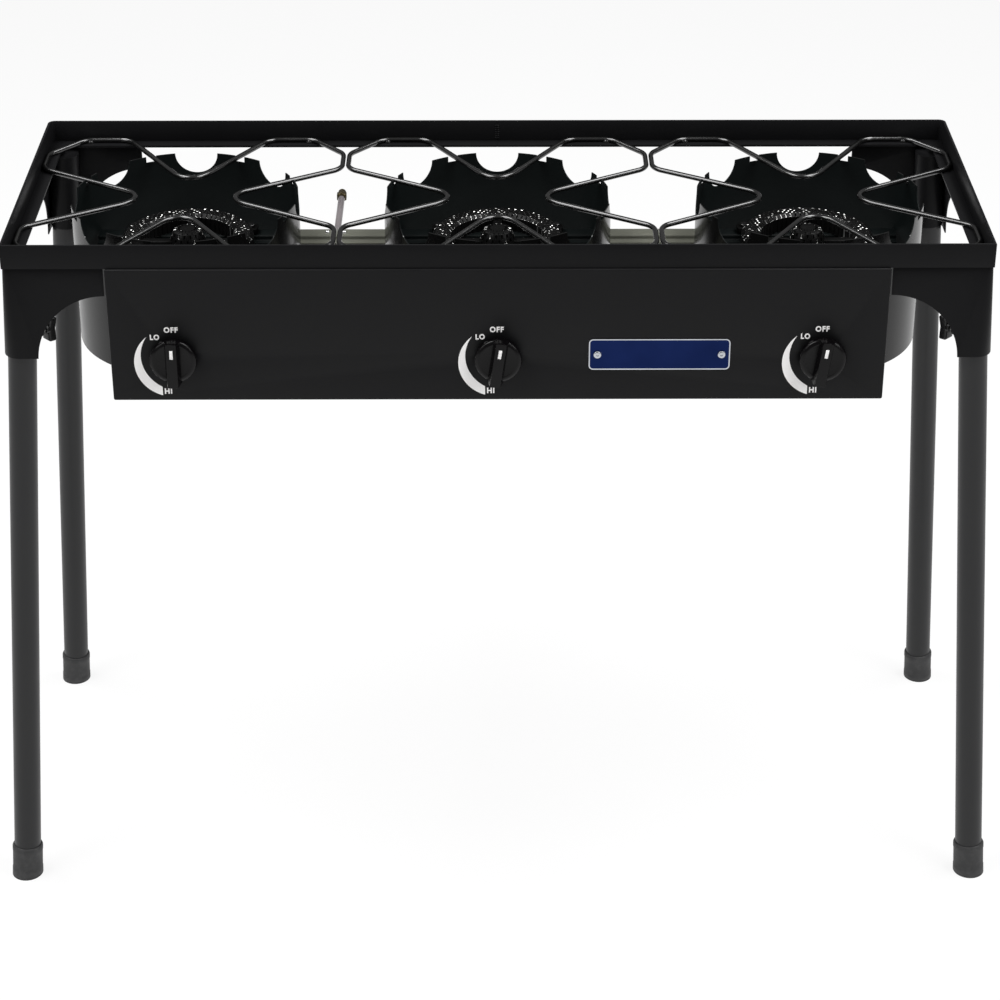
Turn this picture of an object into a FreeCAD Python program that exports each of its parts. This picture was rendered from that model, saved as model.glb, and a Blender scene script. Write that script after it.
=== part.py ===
import FreeCAD, Part
import math
import os
import Sketcher

Vector = FreeCAD.Vector
Rotation = FreeCAD.Rotation
Placement = FreeCAD.Placement

# Three-burner propane stand. Origin on the floor under the middle of the frame,
# +X to the right, +Y to the back (away from the knobs), +Z up. Millimetres.
doc = FreeCAD.newDocument("burner_stand")

# Driving dimensions. Lengths in millimetres, angles in degrees.
DRIVING = {
    "stand_height": 820,
    "rim_width": 1080,
    "rim_depth": 366,
    "rim_drop": 28,
    "rim_ledge": 18,
    "rim_gauge": 3,
    "rim_bend": 8,
    "leg_diameter": 31.75,
    "leg_wall": 1.2,
    "leg_foot_inset": 32,
    "leg_foot_outset": 29,
    "leg_lean": 3.7,
    "leg_bottom": 10,
    "leg_top_gap": 0.4,
    "cap_height": 42,
    "cap_wall": 2,
    "cap_lip": 0.6,
    "cap_gap": 0.03,
    "socket_wall": 1.5,
    "socket_length": 96,
    "socket_gap": 4,
    "socket_lid": 2,
    "weld_nut_radius": 7,
    "weld_nut_length": 9,
    "slip_gap": 0.075,
    "bracket_gauge": 1.5,
    "bracket_arm": 110,
    "bracket_drop": 107,
    "bracket_curve": 77,
    "bracket_top_bend": 6,
    "bracket_band": 3,
    "screw_height": 704,
    "screw_radius": 3.05,
    "screw_tip_gap": 0.35,
    "screw_length": 18,
    "screw_hub_radius": 6,
    "screw_head_length": 28,
    "screw_head_width": 15,
    "screw_head_depth": 10,
    "screw_head_waist": 10,
    "thread_gap": 0.05,
    "bolt_gap": 0.2,
    "sheet_screw_radius": 2.5,
    "screen_screw_drop": 34,
    "panel_width": 856,
    "panel_height": 160,
    "panel_gauge": 1.5,
    "panel_return": 20,
    "panel_shelf": 76,
    "panel_shelf_inset": 12,
    "panel_fold": 3,
    "valve_hole": 7,
    "knob_height": 685,
    "knob_radius": 26,
    "knob_depth": 20,
    "knob_gap": 2,
    "knob_skirt": 10,
    "knob_edge": 7,
    "grip_width": 18,
    "grip_inset": 1.5,
    "stem_radius": 3,
    "stem_reach": 10,
    "stem_seat": 5,
    "valve_radius": 9,
    "valve_back": 8,
    "valve_nose": 6,
    "valve_foot": 6.5,
    "valve_spigot": 3.9,
    "valve_bore": 2,
    "screen_radius": 130,
    "screen_gauge": 1.2,
    "screen_stand_up": 5,
    "tube_hole_gap": 3,
    "slot_gap": 0.5,
    "strap_width": 26,
    "strap_length": 44,
    "strap_gauge": 1.5,
    "strap_start": 8,
    "scallop_radius": 26,
    "scallop_count": 8,
    "notch_width": 10,
    "notch_depth": 7,
    "wire_diameter": 6,
    "grate_gap": 0.5,
    "finger_reach": 58.5,
    "finger_angle": 31.5,
    "finger_bend": 19.5,
    "corner_bend": 14,
    "corner_cut": 54,
    "ring_radius": 76,
    "ring_bore": 54,
    "ring_height": 21,
    "ring_wall": 4,
    "ring_slope": 5,
    "port_radius": 1.5,
    "port_count": 16,
    "head_radius": 22,
    "head_slope": 7,
    "head_skirt": 6,
    "arm_count": 4,
    "arm_width": 14,
    "feed_width": 8,
    "feed_height": 6,
    "lug_half": 9,
    "lug_height": 7,
    "tube_radius": 13,
    "tube_bore": 10,
    "tube_bend": 34,
    "mouth_radius": 20,
    "mouth_lip": 12,
    "mouth_cone": 30,
    "mouth_wall": 3,
    "mouth_face": 2.5,
    "mouth_reach": 146,
    "window_inner": 8,
    "window_outer": 15,
    "window_tall": 9,
    "window_short": 5,
    "rail_spread": 50,
    "lug_spread": 68,
    "rail_web": 20,
    "rail_lip": 8,
    "rail_rise": 8,
    "rail_gauge": 2,
    "rail_top_drop": 88,
    "rail_overhang": 110,
    "rail_bolt_radius": 3,
    "rail_bolt_head": 5.5,
    "manifold_radius": 8,
    "manifold_wall": 1.5,
    "manifold_overhang": 16,
    "manifold_cap": 3,
    "manifold_port": 4,
    "manifold_drop": 22,
    "manifold_setback": 166,
    "inlet_offset": 190,
    "inlet_drop": 100.5,
    "inlet_radius": 4,
    "inlet_wall": 1,
    "inlet_bend": 24,
    "inlet_reach": 172,
    "flare_radius": 5.56,
    "flare_length": 29,
    "flare_body": 7,
    "flare_collar": 4,
    "flare_shoulder": 13,
    "flare_cone": 3.5,
    "clip_gauge": 1.2,
    "clip_half": 15,
    "clip_width": 12,
    "clip_screw_spread": 10,
    "clip_screw_radius": 2,
    "jet_hexagon": 7,
    "jet_hexagon_length": 4,
    "jet_radius": 5,
    "jet_bore": 1,
    "jet_insertion": 3,
    "shutter_gauge": 1.2,
    "shutter_depth": 8,
    "shutter_gap": 0.6,
    "shutter_bore": 5.05,
    "shutter_tab": 9,
    "shutter_tab_width": 8,
    "sheet_screw_head": 5,
    "sheet_screw_head_height": 3,
    "grate_screw_spread": 132,
    "grate_screw_inset": 8.5,
    "grate_screw_radius": 2,
}

# Sizes that follow from the driving ones.
DERIVED = {
    "half_width": "=rim_width / 2",
    "half_depth": "=rim_depth / 2",
    "rim_bottom": "=stand_height - rim_drop",
    "ledge_top": "=rim_bottom + rim_gauge",
    "cell_pitch": "=(rim_width - 2 * rim_gauge) / 3",
    "wire_height": "=ledge_top + wire_diameter / 2",
    "grate_half": "=(cell_pitch - wire_diameter) / 2 - grate_gap",
    "leg_radius": "=leg_diameter / 2",
    "foot_x": "=half_width + leg_foot_inset",
    "foot_y": "=half_depth + leg_foot_outset",
    "lean_ratio": "=tan(leg_lean * 1 deg)",
    "lean_stretch": "=sqrt(1 + 2 * lean_ratio * lean_ratio)",
    "socket_bore": "=leg_radius + slip_gap",
    "socket_radius": "=socket_bore + socket_wall",
    "bracket_bend": "=socket_radius + 0.25 + bracket_gauge",
    "bracket_bottom": "=rim_bottom - bracket_drop",
    "panel_face": "=-half_depth - 2",
    "panel_bottom": "=rim_bottom - panel_height",
    "screen_top": "=ledge_top + screen_stand_up",
    "screen_bottom": "=panel_bottom + panel_gauge",
    "screen_height": "=screen_top - screen_bottom",
    "rail_top": "=stand_height - rail_top_drop",
    "manifold_height": "=knob_height - manifold_drop",
    "socket_top": "=rim_bottom * lean_stretch - socket_gap",
    "clamp_tip": "=leg_radius + screw_tip_gap",
    "rail_bolt_hole": "=rail_bolt_radius + bolt_gap",
    "clip_screw_hole": "=clip_screw_radius + bolt_gap",
    "inlet_height": "=stand_height - inlet_drop",
    "sheet_screw_hole": "=sheet_screw_radius + bolt_gap",
    "panel_screw_y": "=rim_ledge / 2 - half_depth",
    "screen_screw_height": "=rim_bottom - panel_gauge - screen_screw_drop",
}

sheet = doc.addObject("Spreadsheet::Sheet", "Sizes")
for row, (alias, content) in enumerate([*DRIVING.items(), *DERIVED.items()], start=1):
    sheet.set(f"A{row}", alias)
    sheet.set(f"B{row}", str(content))
    sheet.setAlias(f"B{row}", alias)
doc.recompute()


class Size:
    """A length that knows both its value and the sheet formula it comes from."""

    def __init__(self, text, value):
        self.text = text
        self.value = float(value)

    def join(self, other, sign, value):
        return Size(f"({self.text} {sign} {as_size(other).text})", value)

    def __add__(self, other):
        return self.join(other, "+", self.value + as_size(other).value)

    def __sub__(self, other):
        return self.join(other, "-", self.value - as_size(other).value)

    def __mul__(self, other):
        return self.join(other, "*", self.value * as_size(other).value)

    def __truediv__(self, other):
        return self.join(other, "/", self.value / as_size(other).value)

    def __radd__(self, other):
        return as_size(other) + self

    def __rsub__(self, other):
        return as_size(other) - self

    def __rmul__(self, other):
        return as_size(other) * self

    def __neg__(self):
        return Size(f"(-1 * {self.text})", -self.value)


def as_size(number):
    """Any plain number as a Size."""
    if isinstance(number, Size):
        return number
    return Size(repr(float(number)), number)


def size(alias):
    """A cell of the sheet as a Size."""
    return Size(f"Sizes.{alias}", sheet.get(alias))


def bind(target, path, amount):
    """Tie one property of an object to the sheet."""
    target.setExpression(path, as_size(amount).text)


def place(target, x=0, y=0, z=0, rotation=None):
    """Put an object at a sheet-driven point, turned as given."""
    target.Placement = Placement(Vector(0, 0, 0), rotation or Rotation())
    for axis, amount in zip("xyz", (x, y, z)):
        if isinstance(amount, Size) or amount:
            bind(target, f"Placement.Base.{axis}", amount)


def body(label, x=0, y=0, z=0, rotation=None):
    """A new body, which becomes one sub-part."""
    made = doc.addObject("PartDesign::Body", label)
    place(made, x, y, z, rotation)
    return made


def sketch(owner, plane, name, lift=0, shift=0, turn=0):
    """An empty sketch on one of the body's own origin planes.

    It is lifted along its normal, shifted along its own vertical and turned about it.
    """
    made = owner.newObject("Sketcher::SketchObject", name)
    base = [item for item in owner.Origin.OriginFeatures if item.Role == plane]
    made.AttachmentSupport = [(base[0], "")]
    made.MapMode = "FlatFace"
    made.AttachmentOffset = Placement(Vector(0, 0, 0), Rotation(Vector(0, 1, 0), turn))
    for axis, amount in (("z", lift), ("y", shift)):
        if isinstance(amount, Size) or amount:
            bind(made, f"AttachmentOffset.Base.{axis}", amount)
    return made


def lock(made, geometry, point, x, y):
    """Fix one point of a sketch at sheet-driven coordinates."""
    for kind, amount, axis in (("DistanceX", x, -2), ("DistanceY", y, -1)):
        amount = as_size(amount)
        if abs(amount.value) < 1e-9:
            made.addConstraint(Sketcher.Constraint("PointOnObject", geometry, point, axis))
            continue
        rule = Sketcher.Constraint(kind, -1, 1, geometry, point, amount.value)
        index = made.addConstraint(rule)
        bind(made, f"Constraints[{index}]", amount)


def circle(made, x, y, radius):
    """A circle in a sketch."""
    centre = Vector(as_size(x).value, as_size(y).value, 0)
    shape = Part.Circle(centre, Vector(0, 0, 1), as_size(radius).value)
    index = made.addGeometry(shape)
    lock(made, index, 3, x, y)
    rule = made.addConstraint(Sketcher.Constraint("Radius", index, as_size(radius).value))
    bind(made, f"Constraints[{rule}]", radius)


def bend(corner, before, after, radius):
    """Tangent points, centre and turning sense of a rounded corner."""
    back = (before - corner).normalize()
    ahead = (after - corner).normalize()
    half = back.getAngle(ahead) / 2
    reach = radius / math.tan(half)
    middle = (back + ahead).normalize()
    centre = corner + middle * (radius / math.sin(half))
    left_turn = (back.cross(ahead)).z < 0
    return corner + back * reach, corner + ahead * reach, centre, left_turn


def outline(made, corners, closed=True):
    """A line of straight runs through (x, y, bend radius) corners, each bend an arc."""
    points = [Vector(as_size(x).value, as_size(y).value, 0) for x, y, _ in corners]
    count = len(corners)
    bends = []
    for i, (_, _, radius) in enumerate(corners):
        amount = as_size(radius).value
        free_end = not closed and i in (0, count - 1)
        if amount > 0 and not free_end:
            bends.append(bend(points[i], points[i - 1], points[(i + 1) % count], amount))
        else:
            bends.append(None)
    runs = count if closed else count - 1
    lines = []
    for i in range(runs):
        start = bends[i][1] if bends[i] else points[i]
        following = (i + 1) % count
        end = bends[following][0] if bends[following] else points[following]
        lines.append(made.addGeometry(Part.LineSegment(start, end)))
    for i, (x, y, radius) in enumerate(corners):
        before = lines[i - 1] if (closed or i > 0) else None
        after = lines[i] if i < runs else None
        if not bends[i]:
            if before is not None and after is not None:
                made.addConstraint(Sketcher.Constraint("Coincident", before, 2, after, 1))
            if after is not None:
                lock(made, after, 1, x, y)
            else:
                lock(made, before, 2, x, y)
            continue
        start, end, centre, left_turn = bends[i]
        full = Part.Circle(centre, Vector(0, 0, 1), as_size(radius).value)
        first, last = (start, end) if left_turn else (end, start)
        arc = Part.ArcOfCircle(full, full.parameter(first), full.parameter(last))
        index = made.addGeometry(arc)
        near, far = (1, 2) if left_turn else (2, 1)
        made.addConstraint(Sketcher.Constraint("Tangent", before, 2, index, near))
        made.addConstraint(Sketcher.Constraint("Tangent", index, far, after, 1))
        rule = made.addConstraint(Sketcher.Constraint("Radius", index, as_size(radius).value))
        bind(made, f"Constraints[{rule}]", radius)
        mark = made.addGeometry(Part.Point(points[i]), True)
        lock(made, mark, 1, x, y)
        made.addConstraint(Sketcher.Constraint("PointOnObject", mark, 1, before))
        made.addConstraint(Sketcher.Constraint("PointOnObject", mark, 1, after))


def box_outline(made, low_x, low_y, high_x, high_y, radius=0):
    """A rectangle in a sketch, its corners rounded if asked."""
    low_x, low_y, high_x, high_y = map(as_size, (low_x, low_y, high_x, high_y))
    outline(made, [(low_x, low_y, radius), (high_x, low_y, radius),
                   (high_x, high_y, radius), (low_x, high_y, radius)])


def pad(owner, profile, length, reverse=False, both=False, taper=0):
    """Material grown from a sketch."""
    made = owner.newObject("PartDesign::Pad", "Pad")
    made.Profile = profile
    made.Reversed = reverse
    if both:
        made.SideType = "Symmetric"
    bind(made, "Length", length)
    if taper:
        made.TaperAngle = taper
    profile.Visibility = False
    return made


def pocket(owner, profile, length, reverse=False, both=False):
    """Material taken away from a sketch, which must take some."""
    doc.recompute()
    before = owner.Shape.Volume
    made = owner.newObject("PartDesign::Pocket", "Pocket")
    made.Profile = profile
    made.Reversed = reverse
    if both:
        made.SideType = "Symmetric"
    bind(made, "Length", length)
    doc.recompute()
    if owner.Shape.Volume > before - 1e-6:
        raise ValueError(f"a pocket of {owner.Label} cuts nothing")
    return made


def spin(owner, profile, axis="V_Axis", cut=False):
    """A full turn of a sketch about its own vertical or horizontal axis."""
    kind = "Groove" if cut else "Revolution"
    made = owner.newObject(f"PartDesign::{kind}", kind)
    made.Profile = profile
    made.ReferenceAxis = (profile, [axis])
    made.Angle = 360
    return made


def polar(owner, feature, count, axis="Z_Axis"):
    """Equal copies of a feature round one of the body's axes."""
    doc.recompute()
    before = owner.Shape.Volume
    made = owner.newObject("PartDesign::PolarPattern", "PolarPattern")
    made.Originals = [feature]
    line = [item for item in owner.Origin.OriginFeatures if item.Role == axis]
    made.Axis = (line[0], [""])
    made.Angle = 360
    bind(made, "Occurrences", count)
    owner.Tip = made
    doc.recompute()
    if abs(owner.Shape.Volume - before) < 1e-6:
        raise ValueError(f"a pattern of {owner.Label} adds nothing")
    return made


SUB_PARTS = []


def finish(made, label):
    """Name a sub-part and keep it for export."""
    made.Label = label
    SUB_PARTS.append(made)
    return made


CORNERS = {
    "front_left": (-1, -1),
    "front_right": (1, -1),
    "back_left": (-1, 1),
    "back_right": (1, 1),
}
CELLS = {"left": -1, "middle": 0, "right": 1}
FORWARD = Rotation(Vector(1, 0, 0), 90)
PANEL_SCREW_STEPS = (-1, -0.5, 0, 0.5, 1)


def cell_x(step):
    """The middle of one burner cell across the frame."""
    return size("cell_pitch") * step


# Frame: angle steel with its ledge turned in. Two halves run from a mitre at the front
# corner round a bent back corner to a butt weld in the middle of the back.
def rim_half(label, side):
    made = body(label)
    half_width, half_depth = size("half_width"), size("half_depth")
    gauge, ledge, turn = size("rim_gauge"), size("rim_ledge"), size("rim_bend")

    def strip(name, breadth, inner_bend, lift):
        profile = sketch(made, "XY_Plane", name, lift)
        inner_x, inner_y = half_width - breadth, half_depth - breadth
        outline(profile, [
            (half_width * side, -half_depth, 0),
            (half_width * side, half_depth, turn),
            (0, half_depth, 0),
            (0, inner_y, 0),
            (inner_x * side, inner_y, inner_bend),
            (inner_x * side, -inner_y, 0),
        ])
        return profile

    pad(made, strip("upright", gauge, turn - gauge, size("rim_bottom")), size("rim_drop"))
    pad(made, strip("ledge", ledge, 0, size("rim_bottom")), gauge)
    return finish(made, label)


def rim_front():
    made = body("rim_front")
    half_width, half_depth = size("half_width"), size("half_depth")
    for name, breadth, height in (("upright", size("rim_gauge"), size("rim_drop")),
                                  ("ledge", size("rim_ledge"), size("rim_gauge"))):
        profile = sketch(made, "XY_Plane", name, size("rim_bottom"))
        inner_x, inner_y = half_width - breadth, half_depth - breadth
        outline(profile, [
            (-half_width, -half_depth, 0),
            (half_width, -half_depth, 0),
            (inner_x, -inner_y, 0),
            (-inner_x, -inner_y, 0),
        ])
        pad(made, profile, height)
    holes = sketch(made, "XY_Plane", "panel_screw_holes", size("ledge_top") + 1)
    for step in PANEL_SCREW_STEPS:
        circle(holes, cell_x(step), size("panel_screw_y"), size("sheet_screw_hole"))
    pocket(made, holes, size("rim_gauge") + 2)
    return finish(made, "rim_front")


# Corner brackets: sheet wrapped round the leaning socket, with a curved gusset arm
# under the front or back rail and another under the side rail.
def corner_bracket(label, side, end):
    made = body(label)
    gauge = size("bracket_gauge")
    arm_x = size("half_width") - size("bracket_arm")
    arm_y = size("half_depth") - size("bracket_arm")
    sections = []
    for name, height, turn in (("top", size("rim_bottom"), size("bracket_top_bend")),
                               ("bottom", size("bracket_bottom"), size("bracket_bend"))):
        lean = size("lean_ratio") * height
        outer_x = size("foot_x") - lean + size("bracket_bend")
        outer_y = size("foot_y") - lean + size("bracket_bend")
        profile = sketch(made, "XY_Plane", name, height)
        outline(profile, [
            (arm_x * side, outer_y * end, 0),
            (outer_x * side, outer_y * end, turn),
            (outer_x * side, arm_y * end, 0),
            ((outer_x - gauge) * side, arm_y * end, 0),
            ((outer_x - gauge) * side, (outer_y - gauge) * end, turn - gauge),
            (arm_x * side, (outer_y - gauge) * end, 0),
        ])
        sections.append(profile)
    loft = made.newObject("PartDesign::AdditiveLoft", "Wrap")
    loft.Profile = sections[0]
    loft.Sections = [sections[1]]
    loft.Ruled = True
    curve = size("bracket_curve")
    spare = 5
    low = size("bracket_bottom") - spare
    centre = size("bracket_bottom") - size("bracket_band")
    for plane, name, arm, sign in (("XZ_Plane", "arm_x", arm_x, side),
                                   ("YZ_Plane", "arm_y", arm_y, end)):
        profile = sketch(made, plane, name)
        outline(profile, [
            ((arm - spare) * sign, low, 0),
            ((arm + curve) * sign, low, 0),
            ((arm + curve) * sign, centre + curve, curve),
            ((arm - spare) * sign, centre + curve, 0),
        ])
        pocket(made, profile, size("rim_width") * 2, both=True)
    return finish(made, label)


def corner_frame(side, end):
    """Frame of one leg: Z up along the leg, X towards the inside of the stand."""
    ratio = size("lean_ratio").value
    up = Vector(-side * ratio, -end * ratio, 1).normalize()
    inward = Vector(-side, -end, 0).normalize()
    inward = (inward - up * inward.dot(up)).normalize()
    return Rotation(inward, up.cross(inward), up, "ZXY")


def along_leg(height):
    """Distance up a leaning leg to a height above the floor."""
    return height * size("lean_stretch")


def corner_body(label, side, end):
    made = body(label, size("foot_x") * side, size("foot_y") * end, 0, corner_frame(side, end))
    return made


# Leg sockets: a short sleeve with a closed top and a weld nut for the clamp screw.
def leg_socket(label, side, end):
    made = corner_body(label, side, end)
    bore, radius = size("socket_bore"), size("socket_radius")
    top, lid = size("socket_top"), size("socket_lid")
    bottom = top - size("socket_length")
    profile = sketch(made, "XZ_Plane", "sleeve")
    outline(profile, [
        (bore, bottom, 0), (radius, bottom, 0), (radius, top, 0),
        (0, top, 0), (0, top - lid, 0), (bore, top - lid, 0),
    ])
    spin(made, profile)
    height = along_leg(size("screw_height"))
    nut_length = size("weld_nut_length")
    nut = sketch(made, "YZ_Plane", "weld_nut", bore)
    circle(nut, 0, height, size("weld_nut_radius"))
    pad(made, nut, nut_length)
    thread = sketch(made, "YZ_Plane", "thread", bore + nut_length)
    circle(thread, 0, height, size("screw_radius") + size("thread_gap"))
    pocket(made, thread, nut_length + size("leg_radius") / 2)
    return finish(made, label)


# Clamp screws: a shank through the weld nut and a moulded two-lobed head.
def clamp_screw(label, side, end):
    made = corner_body(label, side, end)
    height = along_leg(size("screw_height"))
    tip, length = size("clamp_tip"), size("screw_length")
    shank = sketch(made, "YZ_Plane", "shank", tip)
    circle(shank, 0, height, size("screw_radius"))
    pad(made, shank, length)
    hub = sketch(made, "YZ_Plane", "hub", tip + length - 5)
    circle(hub, 0, height, size("screw_hub_radius"))
    pad(made, hub, 5)
    wing = sketch(made, "YZ_Plane", "wing", tip + length - 2)
    half_length, half_width = size("screw_head_length") / 2, size("screw_head_width") / 2
    half_waist, lobe, neck = size("screw_head_waist") / 2, 5, 2
    outline(wing, [
        (-half_width, height - half_length, lobe), (half_width, height - half_length, lobe),
        (half_width, height - lobe, neck), (half_waist, height, 1),
        (half_width, height + lobe, neck), (half_width, height + half_length, lobe),
        (-half_width, height + half_length, lobe), (-half_width, height + lobe, neck),
        (-half_waist, height, 1), (-half_width, height - lobe, neck),
    ])
    pad(made, wing, size("screw_head_depth"))
    return finish(made, label)


# Legs: steel tube, gripped in the socket, with a rubber cap cut level with the floor.
def leg_tube(label, side, end):
    made = corner_body(label, side, end)
    radius, wall = size("leg_radius"), size("leg_wall")
    top = size("socket_top") - size("socket_lid") - size("leg_top_gap")
    profile = sketch(made, "XZ_Plane", "wall")
    box_outline(profile, radius - wall, size("leg_bottom"), radius, top)
    spin(made, profile)
    return finish(made, label)


def foot_cap(label, side, end):
    blank = corner_body(f"{label}_blank", side, end)
    bore = size("leg_radius") + size("cap_gap")
    outer = size("leg_radius") + size("cap_wall")
    lip, height = size("cap_lip"), size("cap_height")
    floor_top = size("leg_bottom") - 0.5
    spare = 3
    profile = sketch(blank, "XZ_Plane", "cup")
    outline(profile, [
        (0, -spare, 0), (outer + lip, -spare, 0), (outer + lip, floor_top - 1, 0),
        (outer, floor_top, 0), (outer, height - 1, 0), (outer - 1, height, 0),
        (bore, height, 0), (bore, floor_top, 0), (0, floor_top, 0),
    ])
    spin(blank, profile)
    room = doc.addObject("Part::Box", f"{label}_above_floor")
    for edge in ("Length", "Width", "Height"):
        bind(room, edge, size("cap_height") * 3)
    place(room, size("foot_x") * side - size("cap_height") * 1.5,
          size("foot_y") * end - size("cap_height") * 1.5)
    made = doc.addObject("Part::Common", label)
    made.Base = blank
    made.Tool = room
    return finish(made, label)


# Control panel: a folded tray, screwed up under the front rail, with a deep bottom
# shelf that carries the wind screens.
def control_panel():
    made = body("control_panel", 0, size("panel_face"), size("panel_bottom"))
    half, height = size("panel_width") / 2, size("panel_height")
    gauge, turned = size("panel_gauge"), size("panel_return")
    fold, inset = size("panel_fold"), size("panel_shelf_inset")
    block = sketch(made, "XZ_Plane", "tray")
    box_outline(block, -half, 0, half, height, fold)
    pad(made, block, turned, reverse=True)
    hollow = sketch(made, "XZ_Plane", "hollow", -turned)
    box_outline(hollow, gauge - half, gauge, half - gauge, height - gauge, fold - gauge)
    pocket(made, hollow, turned - gauge, reverse=True)
    shelf = sketch(made, "XY_Plane", "shelf")
    box_outline(shelf, inset - half, turned - 1, half - inset, size("panel_shelf"))
    pad(made, shelf, gauge)
    for step in CELLS.values():
        hole = sketch(made, "XZ_Plane", "valve_hole")
        circle(hole, cell_x(step), size("knob_height") - size("panel_bottom"),
               size("valve_hole"))
        pocket(made, hole, gauge * 4, both=True)
    screw_holes = sketch(made, "XY_Plane", "screw_holes", height + 1)
    for step in PANEL_SCREW_STEPS:
        across = size("panel_screw_y") - size("panel_face")
        circle(screw_holes, cell_x(step), across, size("sheet_screw_hole"))
    pocket(made, screw_holes, gauge + 2)
    return finish(made, "control_panel")


# Wind screens: a rolled cylinder, scalloped and notched along its top edge, with slots
# for the burner rails and a hole for the mixing tube.
def wind_screen(label, step):
    made = body(label, cell_x(step), 0, size("screen_bottom"))
    radius, gauge = size("screen_radius"), size("screen_gauge")
    height, past_wall = size("screen_height"), size("screen_radius") + 5
    wall = sketch(made, "XZ_Plane", "wall")
    box_outline(wall, radius - gauge, 0, radius, height)
    spin(made, wall)
    scallop = sketch(made, "XZ_Plane", "scallop")
    circle(scallop, 0, height, size("scallop_radius"))
    polar(made, pocket(made, scallop, past_wall), size("scallop_count"))
    notch = sketch(made, "XZ_Plane", "notch", turn=22.5)
    half = size("notch_width") / 2
    box_outline(notch, -half, height - size("notch_depth"), half, height + 1)
    polar(made, pocket(made, notch, past_wall), size("scallop_count"))
    hole = sketch(made, "XZ_Plane", "tube_hole")
    circle(hole, 0, size("knob_height") - size("screen_bottom"),
           size("mouth_radius") + size("tube_hole_gap"))
    pocket(made, hole, past_wall, reverse=True)
    screw_hole = sketch(made, "XZ_Plane", "screw_hole")
    circle(screw_hole, 0, size("screen_screw_height") - size("screen_bottom"),
           size("sheet_screw_hole"))
    pocket(made, screw_hole, past_wall, reverse=True)
    slots = sketch(made, "YZ_Plane", "rail_slots")
    top = size("rail_top") - size("screen_bottom")
    gap = size("slot_gap")
    half_rail = size("rail_web") / 2 + size("rail_lip") + gap
    for end in (-1, 1):
        middle = size("rail_spread") * end
        box_outline(slots, middle - half_rail, top - size("rail_rise"),
                    middle + half_rail, top + gap)
    if step == 0:
        pocket(made, slots, past_wall * 2, both=True)
    else:
        pocket(made, slots, past_wall, reverse=step < 0)
    return finish(made, label)


# Grates: one welded loop of round wire with four V fingers pointing at the burner.
def grate(label, step):
    made = body(label, cell_x(step), 0, size("wire_height"))
    half = size("grate_half")
    angle = f"tan({size('finger_angle').text} * 1 deg)"
    slope = Size(angle, math.tan(math.radians(size("finger_angle").value)))
    sine = Size(f"sin({size('finger_angle').text} * 1 deg)",
                math.sin(math.radians(size("finger_angle").value)))
    turn, corner = size("finger_bend"), size("corner_bend")
    vertex = size("finger_reach") + turn - turn / sine
    root = (half - vertex) * slope
    edge = half - size("corner_cut")
    path = sketch(made, "XY_Plane", "path")
    start = (root + edge) / 2
    quarter = [
        (half, edge, corner), (edge, half, corner),
        (root, half, corner), (0, vertex, turn), (-root, half, corner),
    ]
    corners = [(half, start, 0)]
    for cosine, sideways in ((1, 0), (0, 1), (-1, 0), (0, -1)):
        for x, y, radius in quarter:
            corners.append((x * cosine - y * sideways, x * sideways + y * cosine, radius))
    corners.append(corners.pop(0))
    corners = corners[-1:] + corners[:-1]
    outline(path, corners)
    wire = sketch(made, "XZ_Plane", "wire", -start)
    circle(wire, half, 0, size("wire_diameter") / 2)
    pipe = made.newObject("PartDesign::AdditivePipe", "Loop")
    pipe.Profile = wire
    pipe.Spine = path
    return finish(made, label)


# Burners: a hollow cast ring and a domed head joined by arms, on four lugs, with a
# mixing tube that drops from the middle and turns to the front.
def burner(label, step):
    made = body(label, cell_x(step), 0, size("rail_top"))
    burner_castings(made)
    mixing_tube(made)
    burner_openings(made)
    return finish(made, label)


def burner_castings(made):
    """The ring, the head, the arms between them and the lugs."""
    ring, bore, height = size("ring_radius"), size("ring_bore"), size("ring_height")
    slope, head = size("ring_slope"), size("head_radius")
    profile = sketch(made, "XZ_Plane", "ring")
    outline(profile, [
        (bore, 0, 0), (ring, 0, 0), (ring, height - slope - 1, 0), (ring - slope, height, 0),
        (bore + slope, height, 0), (bore, height - slope, 0),
    ])
    spin(made, profile)
    fall, skirt, rise = size("head_slope"), size("head_skirt"), 2
    dome = sketch(made, "XZ_Plane", "dome")
    outline(dome, [
        (0, -skirt, 0), (head - fall, -skirt, 0), (head, rise, 0), (head, height - slope, 0),
        (head - fall, height + rise, skirt), (0, height + rise, 0),
    ])
    spin(made, dome)
    arm = sketch(made, "XY_Plane", "arm", rise)
    half_arm = size("arm_width") / 2
    box_outline(arm, head - 6, -half_arm, bore + 2, half_arm)
    polar(made, pad(made, arm, height - 8), size("arm_count"))
    lugs = sketch(made, "XY_Plane", "lugs")
    half_lug = size("lug_half")
    for side, end in CORNERS.values():
        middle_x, middle_y = size("lug_spread") * side, size("rail_spread") * end
        outline(lugs, [
            (middle_x + half_lug * side, middle_y - half_lug * end, 3),
            (middle_x + half_lug * side, middle_y + half_lug * end, 8),
            (middle_x - half_lug * side, middle_y + half_lug * end, 3),
            (middle_x - (half_lug + 7) * side, middle_y - half_lug * end, 0),
        ])
    pad(made, lugs, size("lug_height"))


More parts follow.
